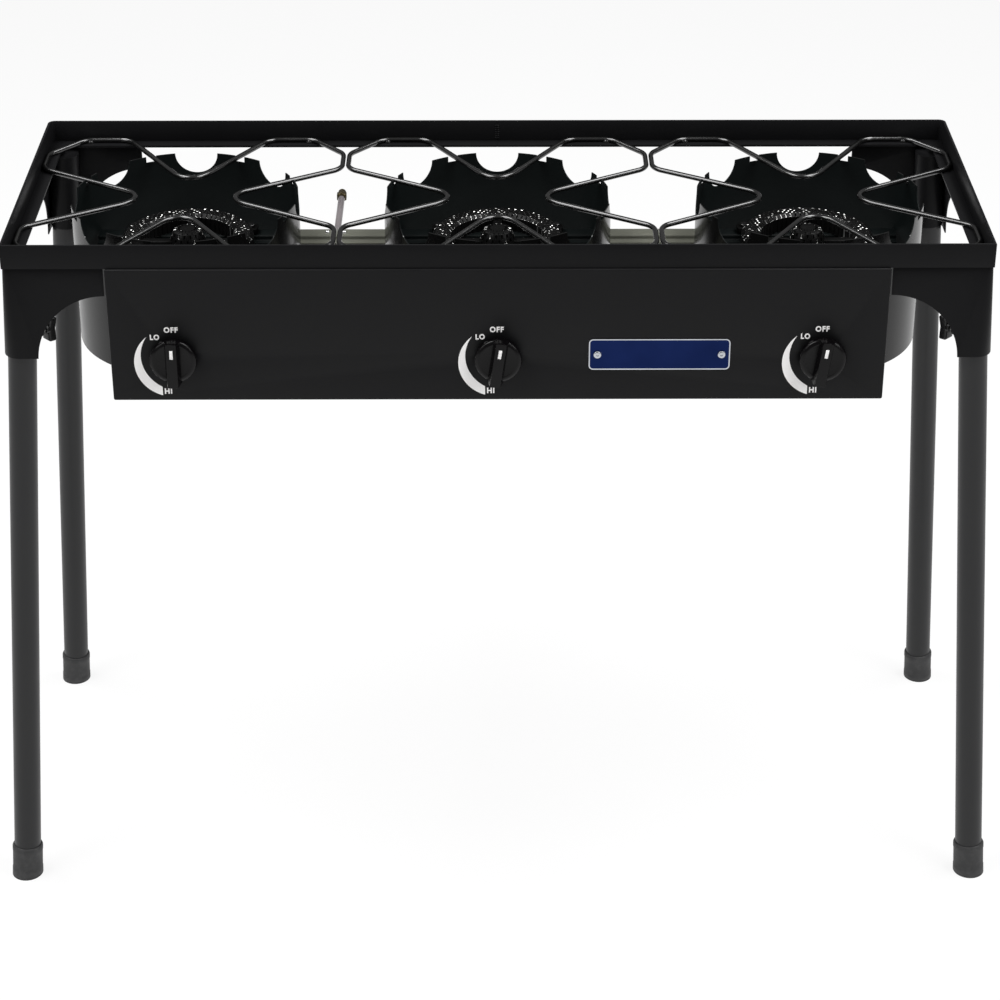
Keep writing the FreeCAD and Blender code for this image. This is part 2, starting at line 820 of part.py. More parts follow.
def mixing_tube(made):
    """The tube down from the head and forward to its bell mouth, hollow all the way."""
    drop, reach = size("knob_height") - size("rail_top"), size("mouth_reach")
    outside, inside, turn = size("tube_radius"), size("tube_bore"), size("tube_bend")
    mouth, lip, cone = size("mouth_radius"), size("mouth_lip"), size("mouth_cone")
    wall, face = size("mouth_wall"), size("mouth_face")
    spine = sketch(made, "YZ_Plane", "tube_path")
    outline(spine, [(0, 0, 0), (0, drop, turn), (6 + lip - reach, drop, 0)], closed=False)
    tube = sketch(made, "XY_Plane", "tube")
    circle(tube, 0, 0, outside)
    run = made.newObject("PartDesign::AdditivePipe", "Tube")
    run.Profile = tube
    run.Spine = spine
    bell = sketch(made, "YZ_Plane", "bell", 0, drop)
    outline(bell, [
        (-reach, 0, 0), (-reach, mouth, 0), (lip - reach, mouth, 6),
        (cone - reach, outside, 0), (cone - reach, 0, 0),
    ])
    spin(made, bell, "H_Axis")
    throat = sketch(made, "YZ_Plane", "throat", 0, drop)
    outline(throat, [
        (face - reach, 0, 0), (face - reach, mouth - wall, 0), (lip - reach, mouth - wall, 5),
        (cone - reach, inside, 0), (cone - reach, 0, 0),
    ])
    spin(made, throat, "H_Axis", cut=True)
    start = 10
    hollow = sketch(made, "XY_Plane", "hollow", start)
    circle(hollow, 0, 0, inside)
    way = sketch(made, "YZ_Plane", "way")
    outline(way, [(0, start, 0), (0, drop, turn), (cone - 1 - reach, drop, 0)], closed=False)
    clear = made.newObject("PartDesign::SubtractivePipe", "Passage")
    clear.Profile = hollow
    clear.Spine = way


def burner_openings(made):
    """The gas channel in the ring, its feeds and ports, the air windows and bolt holes."""
    ring, bore, height = size("ring_radius"), size("ring_bore"), size("ring_height")
    wall = size("ring_wall")
    channel = sketch(made, "XZ_Plane", "channel")
    outline(channel, [
        (bore + wall, wall, 0), (ring - wall, wall, 0), (ring - wall, height - 7, 0),
        (ring - wall * 2, height - wall, 0), (bore + wall + 3, height - wall, 0),
        (bore + wall, height - 7, 0),
    ])
    spin(made, channel, cut=True)
    feed = sketch(made, "YZ_Plane", "feed")
    half_feed = size("feed_width") / 2
    box_outline(feed, -half_feed, 5, half_feed, 5 + size("feed_height"))
    polar(made, pocket(made, feed, bore + 6, reverse=True), size("arm_count"))
    port = sketch(made, "XY_Plane", "port", height + 1)
    circle(port, (bore + ring) / 2, 0, size("port_radius"))
    polar(made, pocket(made, port, wall * 2), size("port_count"))
    drop = size("knob_height") - size("rail_top")
    windows = sketch(made, "XZ_Plane", "windows", size("mouth_reach") + 1)
    air_windows(windows, drop)
    circle(windows, 0, drop, size("shutter_bore") + 0.25)
    pocket(made, windows, size("mouth_face") * 2)
    holes = sketch(made, "XY_Plane", "bolt_holes", size("lug_height") + 1)
    for side, end in CORNERS.values():
        circle(holes, size("lug_spread") * side, size("rail_spread") * end,
               size("rail_bolt_hole"))
    pocket(made, holes, size("lug_height") + 3)


def air_windows(made, height):
    """The two air windows that a bell mouth and its shutter share."""
    inner, outer = size("window_inner"), size("window_outer")
    tall, short = size("window_tall"), size("window_short")
    for side in (-1, 1):
        outline(made, [
            (inner * side, height - tall, 1), (outer * side, height - short, 1),
            (outer * side, height + short, 1), (inner * side, height + tall, 1),
        ])


# Burner rails: hat section running under all three burners.
def burner_rail(label, end):
    made = body(label, 0, size("rail_spread") * end, size("rail_top"))
    half_web, gauge = size("rail_web") / 2, size("rail_gauge")
    lip, rise = size("rail_lip"), size("rail_rise")
    profile = sketch(made, "YZ_Plane", "hat")
    outline(profile, [
        (half_web, 0, 0), (-half_web, 0, 0), (-half_web, gauge - rise, 0),
        (-half_web - lip, gauge - rise, 0), (-half_web - lip, -rise, 0),
        (gauge - half_web, -rise, 0), (gauge - half_web, -gauge, 0),
        (half_web - gauge, -gauge, 0), (half_web - gauge, -rise, 0),
        (half_web + lip, -rise, 0), (half_web + lip, gauge - rise, 0),
        (half_web, gauge - rise, 0),
    ])
    pad(made, profile, (size("cell_pitch") + size("rail_overhang")) * 2, both=True)
    holes = sketch(made, "XY_Plane", "bolt_holes", 1)
    for step in CELLS.values():
        for side in (-1, 1):
            circle(holes, cell_x(step) + size("lug_spread") * side, 0, size("rail_bolt_hole"))
    if end > 0:
        for side in (-1, 1):
            circle(holes, size("clip_screw_spread") * side - size("inlet_offset"), 0,
                   size("clip_screw_hole"))
    pocket(made, holes, gauge * 2)
    return finish(made, label)


# Gas train behind the panel: manifold pipe, taps, jets, inlet pipe and its fitting.
def manifold():
    made = body("manifold", 0, -size("manifold_setback"), size("manifold_height"))
    radius, cap = size("manifold_radius"), size("manifold_cap")
    half = size("cell_pitch") + size("manifold_overhang")
    outside = sketch(made, "YZ_Plane", "outside")
    circle(outside, 0, 0, radius)
    pad(made, outside, half * 2, both=True)
    inside = sketch(made, "XZ_Plane", "inside")
    box_outline(inside, cap - half, 0, half - cap, radius - size("manifold_wall"))
    spin(made, inside, "H_Axis", cut=True)
    ports = sketch(made, "XY_Plane", "ports", radius + 1)
    for step in CELLS.values():
        circle(ports, cell_x(step), 0, size("manifold_port"))
    circle(ports, -size("inlet_offset"), 0, size("inlet_radius"))
    pocket(made, ports, radius)
    return finish(made, "manifold")


def valve_body(label, step):
    made = body(label, cell_x(step), -size("manifold_setback"), size("knob_height"), FORWARD)
    front = -size("panel_face") - size("manifold_setback") - size("panel_gauge")
    back, drop = size("valve_back"), size("manifold_drop")
    to_manifold = drop - size("manifold_radius")
    barrel = sketch(made, "XY_Plane", "barrel", -back)
    circle(barrel, 0, 0, size("valve_radius"))
    pad(made, barrel, front + back)
    nose = sketch(made, "XY_Plane", "nose", front)
    circle(nose, 0, 0, size("valve_nose"))
    pad(made, nose, size("panel_gauge") * 2)
    foot = sketch(made, "XZ_Plane", "foot")
    circle(foot, 0, 0, size("valve_foot"))
    pad(made, foot, to_manifold - 0.3)
    spigot = sketch(made, "XZ_Plane", "spigot")
    circle(spigot, 0, 0, size("valve_spigot"))
    pad(made, spigot, to_manifold + 1.2)
    way_in = sketch(made, "XZ_Plane", "way_in", drop)
    circle(way_in, 0, 0, size("valve_bore"))
    pocket(made, way_in, drop)
    way_out = sketch(made, "XY_Plane", "way_out", -back - 1)
    circle(way_out, 0, 0, size("valve_bore"))
    pocket(made, way_out, back + 2, reverse=True)
    seat = sketch(made, "XY_Plane", "seat", front + size("stem_seat"))
    circle(seat, 0, 0, size("stem_radius") + size("thread_gap"))
    pocket(made, seat, front + 1)
    return finish(made, label)


def valve_stem(label, step):
    made = body(label, cell_x(step), size("panel_face") - size("knob_gap"),
                size("knob_height"), FORWARD)
    to_valve = size("knob_gap") - size("panel_face") - size("manifold_setback")
    reach = size("stem_reach")
    shaft = sketch(made, "XY_Plane", "shaft", reach)
    circle(shaft, 0, 0, size("stem_radius"))
    pad(made, shaft, reach + to_valve - size("stem_seat"), reverse=True)
    return finish(made, label)


def knob(label, step):
    made = body(label, cell_x(step), size("panel_face") - size("knob_gap"),
                size("knob_height"), FORWARD)
    radius, depth = size("knob_radius"), size("knob_depth")
    top, edge = size("knob_skirt"), size("knob_edge")
    half_grip, inset = size("grip_width") / 2, size("grip_inset")
    skirt = sketch(made, "XZ_Plane", "skirt")
    outline(skirt, [
        (0, 0, 0), (radius, 0, 0), (radius, edge, 2.5), (radius - edge, top, 8), (0, top, 0),
    ])
    spin(made, skirt)
    grip = sketch(made, "XY_Plane", "grip", top - 1)
    box_outline(grip, -half_grip, inset - radius, half_grip, radius - inset, half_grip - 2)
    pad(made, grip, depth - top + 1, taper=-15)
    bore = sketch(made, "XY_Plane", "bore", -1)
    circle(bore, 0, 0, size("stem_radius"))
    pocket(made, bore, size("stem_reach") + 1, reverse=True)
    return finish(made, label)


def jets():
    """The three brass jets, one sub-part of three separate solids."""
    solids = []
    back = size("valve_back")
    length = size("manifold_setback") - back - size("mouth_reach") + size("jet_insertion")
    for name, step in CELLS.items():
        made = body(f"jet_{name}", cell_x(step), back - size("manifold_setback"),
                    size("knob_height"), FORWARD)
        hexagon = sketch(made, "XY_Plane", "hexagon")
        circle(hexagon, 0, 0, size("jet_hexagon"))
        pad(made, hexagon, size("jet_hexagon_length"), reverse=True)
        tip = sketch(made, "XY_Plane", "tip")
        circle(tip, 0, 0, size("jet_radius"))
        pad(made, tip, length, reverse=True)
        drill = sketch(made, "XY_Plane", "drill", 1)
        circle(drill, 0, 0, size("jet_bore"))
        pocket(made, drill, length + 5)
        solids.append(made)
    return group("jets", solids)


def air_shutter(label, step):
    gauge, depth = size("shutter_gauge"), size("shutter_depth")
    gap, bore = size("shutter_gap"), size("shutter_bore")
    mouth = size("mouth_radius")
    front = size("mouth_reach") + gauge + 0.4
    made = body(label, cell_x(step), -front, size("knob_height"), FORWARD)
    cup = sketch(made, "XZ_Plane", "cup")
    outline(cup, [
        (bore, 0, 0), (mouth + gap + 1, 0, 0), (mouth + gap + 1, -depth, 0),
        (mouth + gap, -depth, 0), (mouth + gap, -gauge, 0), (bore, -gauge, 0),
    ])
    spin(made, cup)
    windows = sketch(made, "XY_Plane", "windows", 1)
    air_windows(windows, 0)
    pocket(made, windows, gauge * 3)
    tab = sketch(made, "XY_Plane", "tab")
    half_tab = size("shutter_tab_width") / 2
    box_outline(tab, -half_tab, mouth, half_tab, mouth + size("shutter_tab"), 2)
    pad(made, tab, gauge, reverse=True)
    return finish(made, label)


def inlet_pipe():
    made = body("inlet_pipe", -size("inlet_offset"), 0, 0)
    radius = size("inlet_radius")
    path = sketch(made, "YZ_Plane", "path")
    low = size("manifold_height") + size("manifold_radius") - 1.2
    outline(path, [
        (-size("manifold_setback"), low, 0),
        (-size("manifold_setback"), size("inlet_height"), size("inlet_bend")),
        (size("inlet_reach"), size("inlet_height"), 0),
    ], closed=False)
    for name, breadth, kind in (("outside", radius, "Additive"),
                                ("inside", radius - size("inlet_wall"), "Subtractive")):
        ring = sketch(made, "XY_Plane", name, low)
        circle(ring, 0, -size("manifold_setback"), breadth)
        run = made.newObject(f"PartDesign::{kind}Pipe", name)
        run.Profile = ring
        run.Spine = path
    return finish(made, "inlet_pipe")


def inlet_fitting():
    made = body("inlet_fitting", -size("inlet_offset"), size("inlet_reach"),
                size("inlet_height"), Rotation(Vector(1, 0, 0), -90))
    length, radius = size("flare_length"), size("flare_radius")
    bore = size("inlet_radius") - size("inlet_wall")
    collar, shoulder = size("flare_collar"), size("flare_shoulder")
    cone, block = size("flare_cone"), size("flare_body")
    profile = sketch(made, "XZ_Plane", "turned")
    outline(profile, [
        (bore, 0, 0), (size("inlet_radius") + 1.5, 0, 0),
        (size("inlet_radius") + 1.5, collar, 0), (block, collar, 0), (block, shoulder, 0),
        (radius - 1, shoulder, 0), (radius - 1, shoulder + 2, 0), (radius, shoulder + 3, 0),
        (radius, length - cone, 0), (bore, length, 0),
    ])
    spin(made, profile)
    return finish(made, "inlet_fitting")


def pipe_clip():
    """Saddle under the back rail that holds the inlet pipe."""
    made = body("pipe_clip", -size("inlet_offset"), size("rail_spread"), size("inlet_height"))
    radius, gauge = size("inlet_radius") + 0.1, size("clip_gauge")
    web = size("rail_top") - size("rail_gauge") - size("inlet_height")
    outer, half = radius + gauge, size("clip_half")
    saddle = sketch(made, "XZ_Plane", "saddle")
    outline(saddle, [
        (-half, web, 0), (-half, web - gauge, 0), (-outer, web - gauge, 0),
        (-outer, -outer, outer - 0.01), (outer, -outer, outer - 0.01),
        (outer, web - gauge, 0), (half, web - gauge, 0), (half, web, 0),
        (radius, web, 0), (radius, -radius, radius - 0.01),
        (-radius, -radius, radius - 0.01), (-radius, web, 0),
    ])
    pad(made, saddle, size("clip_width"), both=True)
    holes = sketch(made, "XY_Plane", "holes", web + 1)
    for side in (-1, 1):
        circle(holes, size("clip_screw_spread") * side, 0, size("clip_screw_hole"))
    pocket(made, holes, gauge * 3)
    return finish(made, "pipe_clip")


def screen_bracket(label, step):
    """Strap from under the front rail down the front of one wind screen."""
    made = body(label, cell_x(step), 0, size("rim_bottom") - size("panel_gauge"))
    radius, gauge, length = size("screen_radius"), size("strap_gauge"), size("strap_length")
    start = size("strap_start") - size("half_depth")
    strap = sketch(made, "YZ_Plane", "strap")
    outline(strap, [
        (start, 0, 0), (start, -gauge, 0), (-radius - gauge, -gauge, 0),
        (-radius - gauge, -length, 0), (-radius, -length, 0), (-radius, 0, 0),
    ])
    pad(made, strap, size("strap_width"), both=True)
    hole = sketch(made, "XZ_Plane", "screen_screw_hole")
    circle(hole, 0, -size("screen_screw_drop"), size("sheet_screw_hole"))
    pocket(made, hole, size("rim_depth") * 2, both=True)
    hole = sketch(made, "XY_Plane", "panel_screw_hole", 1)
    circle(hole, 0, size("panel_screw_y"), size("sheet_screw_hole"))
    pocket(made, hole, gauge + 2)
    return finish(made, label)


# Fasteners: each group is one sub-part made of separate solids.
def bolt(name, x, y, z, radius, head, head_height, grip, rotation=None, nut=True):
    """A bolt whose head sits on the surface at x, y, z and whose shank runs down."""
    made = body(name, x, y, z, rotation)
    cap = sketch(made, "XY_Plane", "cap")
    circle(cap, 0, 0, head)
    pad(made, cap, head_height)
    shank = sketch(made, "XY_Plane", "shank")
    circle(shank, 0, 0, radius)
    pad(made, shank, grip + radius * 2.4, reverse=True)
    if nut:
        under = sketch(made, "XY_Plane", "nut", -as_size(grip))
        circle(under, 0, 0, radius * 1.7)
        pad(made, under, radius * 1.8, reverse=True)
    return made


def group(label, solids):
    made = doc.addObject("Part::Compound", label)
    made.Links = solids
    return finish(made, label)


def burner_bolts():
    solids = []
    for name, step in CELLS.items():
        for corner, (side, end) in CORNERS.items():
            solids.append(bolt(
                f"burner_bolt_{name}_{corner}", cell_x(step) + size("lug_spread") * side,
                size("rail_spread") * end, size("rail_top") + size("lug_height"),
                size("rail_bolt_radius"), size("rail_bolt_head"), 4,
                size("lug_height") + size("rail_gauge")))
    return group("burner_bolts", solids)


def panel_screws():
    solids = []
    for i, step in enumerate(PANEL_SCREW_STEPS):
        grip = size("rim_gauge") + size("panel_gauge")
        if step in CELLS.values():
            grip = grip + size("strap_gauge")
        solids.append(bolt(
            f"panel_screw_{i}", cell_x(step), size("panel_screw_y"), size("ledge_top"),
            size("sheet_screw_radius"), size("sheet_screw_head"),
            size("sheet_screw_head_height"), grip))
    return group("panel_screws", solids)


def screen_screws():
    solids = []
    for name, step in CELLS.items():
        solids.append(bolt(
            f"screen_screw_{name}", cell_x(step), -size("screen_radius") - size("strap_gauge"),
            size("screen_screw_height"), size("sheet_screw_radius"),
            size("sheet_screw_head"), size("sheet_screw_head_height"),
            size("screen_gauge") + size("strap_gauge") + 0.15, FORWARD))
    return group("screen_screws", solids)


def clip_screws():
    solids = []
    for name, side in (("left", -1), ("right", 1)):
        solids.append(bolt(
            f"clip_screw_{name}", size("clip_screw_spread") * side - size("inlet_offset"),
            size("rail_spread"), size("rail_top"), size("clip_screw_radius"), 4, 2.5,
            size("rail_gauge") + size("clip_gauge")))
    return group("clip_screws", solids)


def grate_screws():
    solids = []
    for name, step in CELLS.items():
        for hand, side in (("left", -1), ("right", 1)):
            made = body(f"grate_screw_{name}_{hand}",
                        cell_x(step) + size("grate_screw_spread") * side,
                        size("half_depth") - size("grate_screw_inset"), size("ledge_top"))
            radius = size("grate_screw_radius")
            shank = sketch(made, "XY_Plane", "shank")
            circle(shank, 0, 0, radius)
            pad(made, shank, size("wire_diameter"))
            cap = sketch(made, "XY_Plane", "cap", size("wire_diameter"))
            circle(cap, 0, 0, radius * 2)
            pad(made, cap, radius)
            solids.append(made)
    return group("grate_screws", solids)


rim_half("rim_left", -1)
rim_half("rim_right", 1)
rim_front()
for place_name, (side, end) in CORNERS.items():
    corner_bracket(f"bracket_{place_name}", side, end)
    leg_socket(f"socket_{place_name}", side, end)
    leg_tube(f"leg_{place_name}", side, end)
    foot_cap(f"foot_{place_name}", side, end)
    clamp_screw(f"clamp_screw_{place_name}", side, end)
control_panel()
for place_name, step in CELLS.items():
    wind_screen(f"screen_{place_name}", step)
    grate(f"grate_{place_name}", step)
    burner(f"burner_{place_name}", step)
    screen_bracket(f"screen_bracket_{place_name}", step)
    valve_body(f"valve_body_{place_name}", step)
    valve_stem(f"valve_stem_{place_name}", step)
    knob(f"knob_{place_name}", step)
    air_shutter(f"air_shutter_{place_name}", step)
burner_rail("burner_rail_front", -1)
burner_rail("burner_rail_back", 1)
manifold()
inlet_pipe()
inlet_fitting()
pipe_clip()
jets()
burner_bolts()
panel_screws()
screen_screws()
clip_screws()
grate_screws()

doc.recompute()
for item in doc.Objects:
    if "Invalid" in item.State or "Error" in item.State:
        raise ValueError(f"{item.Name} did not recompute")

os.makedirs("parts", exist_ok=True)
for made in SUB_PARTS:
    if made.Shape.isNull() or not made.Shape.isValid() or not made.Shape.Solids:
        raise ValueError(f"{made.Label} has no valid solid")
    made.Shape.exportStep(f"parts/{made.Label}.step")
print(len(SUB_PARTS), "sub-parts written")
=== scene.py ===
import math

import bmesh
import bpy
from mathutils import Matrix, Vector


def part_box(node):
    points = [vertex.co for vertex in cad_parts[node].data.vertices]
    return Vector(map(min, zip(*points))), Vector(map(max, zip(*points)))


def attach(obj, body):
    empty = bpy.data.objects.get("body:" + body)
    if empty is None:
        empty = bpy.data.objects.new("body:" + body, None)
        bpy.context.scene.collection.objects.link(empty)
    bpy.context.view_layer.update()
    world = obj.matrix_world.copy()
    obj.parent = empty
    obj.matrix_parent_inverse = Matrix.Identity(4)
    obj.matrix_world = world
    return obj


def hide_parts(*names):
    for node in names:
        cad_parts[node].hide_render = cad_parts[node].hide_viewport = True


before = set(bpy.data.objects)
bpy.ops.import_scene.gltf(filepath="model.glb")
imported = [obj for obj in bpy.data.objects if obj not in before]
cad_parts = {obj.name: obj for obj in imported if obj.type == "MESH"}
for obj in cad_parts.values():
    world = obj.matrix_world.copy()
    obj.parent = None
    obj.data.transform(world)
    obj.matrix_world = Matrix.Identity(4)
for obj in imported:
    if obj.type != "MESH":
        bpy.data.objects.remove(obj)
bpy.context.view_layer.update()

# Studio: a white floor that carries on as a white background, two large soft lights overhead
# and two weaker ones from the sides. The camera stands before the stand and looks down on it.
MM = 0.001
# Angles in radians, lens and sensor in millimetres, sight in metres, and the rise as a share of the picture.
CAMERA_PLACE = (-8.5 * MM, -2756.4 * MM, 1981.1 * MM)
CAMERA_TILT = 0.4832
CAMERA_TURN = -0.0041
CAMERA_LENS = 93.86
CAMERA_SENSOR = 36
CAMERA_SIGHT = 60
CAMERA_RISE = -0.1
FLOOR_HALF = 9.0
GLOW_SHARE = 0.86


def add(tree, kind, settings=None, joins=None):
    """Add one shader node, set its properties and sockets, and join its inputs."""
    made = tree.nodes.new(kind)
    for name, value in (settings or {}).items():
        if isinstance(name, str) and hasattr(made, name):
            setattr(made, name, value)
        else:
            made.inputs[name].default_value = value
    for name, (source, output) in (joins or {}).items():
        tree.links.new(source.outputs[output], made.inputs[name])
    return made


def blank(name):
    """A new material with an empty node tree."""
    material = bpy.data.materials.new(name)
    material.use_nodes = True
    material.node_tree.nodes.clear()
    return material, material.node_tree


def close():
    """Leave edit mode, if a piece is open for modelling."""
    if bpy.context.mode != "OBJECT":
        bpy.ops.object.mode_set(mode="OBJECT")


def begin(kind, name, **sizes):
    """Add one primitive, put its place into its mesh and open it for modelling."""
    close()
    bpy.ops.object.select_all(action="DESELECT")
    getattr(bpy.ops.mesh, f"primitive_{kind}_add")(**sizes)
    piece = bpy.context.object
    piece.name = piece.data.name = name
    bpy.ops.object.transform_apply(location=True, rotation=True, scale=True)
    bpy.ops.object.mode_set(mode="EDIT")
    return piece


floor = begin("plane", "floor", size=2 * FLOOR_HALF)
close()
# White paper: the camera sees it as white, and a seventh of its own shading keeps a shadow.
paper, tree = blank("white_paper_floor")
sheet = add(tree, "ShaderNodeBsdfDiffuse", {"Color": (0.9, 0.9, 0.9, 1)})
glow = add(tree, "ShaderNodeEmission", {"Strength": 1.0})
path = add(tree, "ShaderNodeLightPath")
seen = add(tree, "ShaderNodeMath", {"operation": "MAXIMUM"},
           {0: (path, "Is Camera Ray"), 1: (path, "Is Glossy Ray")})
share = add(tree, "ShaderNodeMath", {"operation": "MULTIPLY", 1: GLOW_SHARE}, {0: (seen, 0)})
both = add(tree, "ShaderNodeMixShader", {}, {0: (share, 0), 1: (sheet, 0), 2: (glow, 0)})
add(tree, "ShaderNodeOutputMaterial", {}, {"Surface": (both, 0)})
floor.data.materials.append(paper)

world = bpy.data.worlds.new("studio")
world.use_nodes = True
bpy.context.scene.world = world
tree = world.node_tree
tree.nodes.clear()
path = add(tree, "ShaderNodeLightPath")
level = add(tree, "ShaderNodeMapRange", {"To Min": 0.2, "To Max": 1.0}, {"Value": (path, "Is Camera Ray")})
sky = add(tree, "ShaderNodeBackground", {"Color": (1, 1, 1, 1)}, {"Strength": (level, 0)})
add(tree, "ShaderNodeOutputWorld", {}, {"Surface": (sky, 0)})

# Name, place, aim, size in metres and power in watts of each light.
for name, place, aim, size, power in (
    ("overhead_left_light", (-1.6, -0.2, 3.1), (0, 0, 0.8), (2.6, 1.3), 95),
    ("overhead_right_light", (1.6, -0.2, 3.1), (0, 0, 0.8), (2.6, 1.3), 95),
    ("left_light", (-3.2, -1.8, 2.4), (0, 0, 0.5), (1.2, 1.2), 20),
    ("right_light", (3.0, -2.0, 2.2), (0, 0, 0.5), (1.2, 1.2), 26),
):
    bpy.ops.object.light_add(type="AREA", location=place)
    lamp = bpy.context.object
    lamp.name = name
    lamp.data.shape = "RECTANGLE"
    lamp.data.size, lamp.data.size_y = size
    lamp.data.energy = power
    lamp.rotation_euler = (Vector(aim) - Vector(place)).to_track_quat("-Z", "Y").to_euler()

looking = Matrix.Rotation(CAMERA_TURN, 3, "Z") @ Matrix.Rotation(math.pi / 2 - CAMERA_TILT, 3, "X")
bpy.ops.object.camera_add(location=CAMERA_PLACE, rotation=looking.to_euler())
camera = bpy.context.object
camera.data.lens = CAMERA_LENS
camera.data.shift_y = CAMERA_RISE
camera.data.sensor_width = CAMERA_SENSOR
camera.data.clip_end = CAMERA_SIGHT
bpy.context.scene.camera = camera
bpy.context.scene.view_settings.view_transform = "Standard"


# Frame. Hot-rolled steel angle, 28 mm high, its 18 mm ledge turned in at the bottom: two
# halves bent round the back corners and butt-welded behind, and a front piece mitred to
# them. It is blasted, welded and powder coated satin black.
rim_low, rim_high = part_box("rim_front")
half_width, half_depth = rim_high.x, -rim_low.y
rim_bottom, rim_top = rim_low.z, rim_high.z
ledge = rim_high.y - rim_low.y
rim_gauge = 3 * MM
rim_edge = 0.5 * MM
SLACK = 0.01 * MM
rim_bend = 8 * MM


def begin_box(name, low, high):
    """A box between two corners, open for modelling."""
    low, high = Vector(low), Vector(high)
    return begin("cube", name, size=1, location=(low + high) / 2, scale=high - low)


def pick(piece, kind, test):
    """Select only the corners, edges or faces whose middle and normal pass a test."""
    mesh = bmesh.from_edit_mesh(piece.data)
    bpy.ops.mesh.select_all(action="DESELECT")
    bpy.ops.mesh.select_mode(type=kind)
    items = {"VERT": mesh.verts, "EDGE": mesh.edges, "FACE": mesh.faces}[kind]
    for item in items:
        corners = [item] if kind == "VERT" else item.verts
        middle = sum((corner.co for corner in corners), Vector()) / len(corners)
        item.select_set(bool(test(middle, item.normal if kind != "EDGE" else None)))
    mesh.select_flush_mode()
    bmesh.update_edit_mesh(piece.data)


def pick_side(piece, *ways):
    """Select the faces that look one of the ways, such as +z."""
    pick(piece, "FACE", lambda at, normal: any(
        getattr(normal, way[1]) * float(way[0] + "1") > 0.9 for way in ways))


def pick_all():
    """Select all of the open piece."""
    bpy.ops.mesh.select_all(action="SELECT")


def grow(step):
    """Extrude what is selected by a step."""
    bpy.ops.mesh.extrude_region_move(TRANSFORM_OT_translate={"value": step})


def shift(step):
    """Move what is selected by a step."""
    bpy.ops.transform.translate(value=step)


def only(piece):
    """Leave edit mode and make one piece the selected and active one."""
    close()
    bpy.ops.object.select_all(action="DESELECT")
    bpy.context.view_layer.objects.active = piece
    piece.select_set(True)


def finish_with(piece, kind, **settings):
    """Add one modifier and apply it."""
    only(piece)
    change = piece.modifiers.new(kind.title(), kind)
    for name, value in settings.items():
        setattr(change, name, value)
    bpy.ops.object.modifier_apply(modifier=change.name)


def smooth(piece, angle=32):
    """Shade smooth, with sharp edges past an angle in degrees."""
    only(piece)
    bpy.ops.object.shade_smooth_by_angle(angle=math.radians(angle))


def ease(piece, width, segments=2, angle=35):
    """Round every edge sharper than an angle in degrees, then shade it smooth."""
    finish_with(piece, "BEVEL", width=width, segments=segments, limit_method="ANGLE",
                angle_limit=math.radians(angle), harden_normals=False)
    smooth(piece)


def reopen(piece):
    """Open a piece for modelling again, all of it selected."""
    only(piece)
    bpy.ops.object.mode_set(mode="EDIT")
    pick_all()


def outwards(piece):
    """Merge doubled corners and turn every face outwards."""
    reopen(piece)
    bpy.ops.mesh.remove_doubles(threshold=SLACK)
    bpy.ops.mesh.normals_make_consistent(inside=False)
    close()


def join(name, *parts):
    """Make one piece of several."""
    only(parts[0])
    for part in parts:
        part.select_set(True)
    bpy.ops.object.join()
    parts[0].name = parts[0].data.name = name
    return parts[0]


def twin(piece, name, move=(0, 0, 0), flip=(1, 1, 1)):
    """A copy with its own mesh, moved or mirrored across the origin."""
    only(piece)
    bpy.ops.object.duplicate()
    made = bpy.context.object
    made.name = made.data.name = name
    made.data.transform(Matrix.Translation(move) @ Matrix.Diagonal((*flip, 1)))
    if flip[0] * flip[1] * flip[2] < 0:
        made.data.flip_normals()
    return made


def give(piece, *materials):
    """Add materials to a piece."""
    for material in materials:
        piece.data.materials.append(material)


def fit(piece, body, slot, material, *nodes):
    """Hand a piece to its body, its finish and the solids that it stands for."""
    close()
    if not piece.data.materials:
        give(piece, material)
    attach(piece, body)
    if nodes:
        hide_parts(*nodes)


def grain(tree, size_mm, detail=2.0, roughness=0.5, squash=(1, 1, 1)):
    """Noise with grains of one size, on the piece's own coordinates."""
    where = add(tree, "ShaderNodeTexCoord")
    place = add(tree, "ShaderNodeMapping", {"Scale": squash}, {"Vector": (where, "Object")})
    noise = add(tree, "ShaderNodeTexNoise", {"Scale": 1 / (size_mm * MM), "Detail": detail, "Roughness": roughness},
                {"Vector": (place, 0)})
    return noise, "Fac"


def vary(tree, pattern, low, high, start=0.0, stop=1.0):
    """A value that goes from low to high with a pattern between start and stop."""
    return add(tree, "ShaderNodeMapRange", {"From Min": start, "From Max": stop, "To Min": low, "To Max": high},
               {"Value": pattern}), 0


def blend(tree, pattern, low, high):
    """A colour that goes from one to another with a pattern."""
    return add(tree, "ShaderNodeMix", {"data_type": "RGBA", 6: low, 7: high}, {0: pattern}), 2


def dent(tree, pattern, depth_mm, strength):
    """A surface that a pattern roughens."""
    return add(tree, "ShaderNodeBump", {"Distance": depth_mm * MM, "Strength": strength}, {"Height": pattern}), 0


def linear(code):
    """An sRGB hex colour as the linear colour that a shader takes."""
    parts = [int(code[i:i + 2], 16) / 255 for i in (1, 3, 5)]
    return [c / 12.92 if c <= 0.04045 else ((c + 0.055) / 1.055) ** 2.4 for c in parts] + [1]


def shade_of(code, share):
    """A hex colour made darker or lighter."""
    return [min(c * share, 1) for c in linear(code)[:3]] + [1]


def cover(material, settings, joins):
    """Close a material with its one shader."""
    tree = material.node_tree
    skin = add(tree, "ShaderNodeBsdfPrincipled", settings, joins)
    add(tree, "ShaderNodeOutputMaterial", {}, {"Surface": (skin, 0)})
    return material


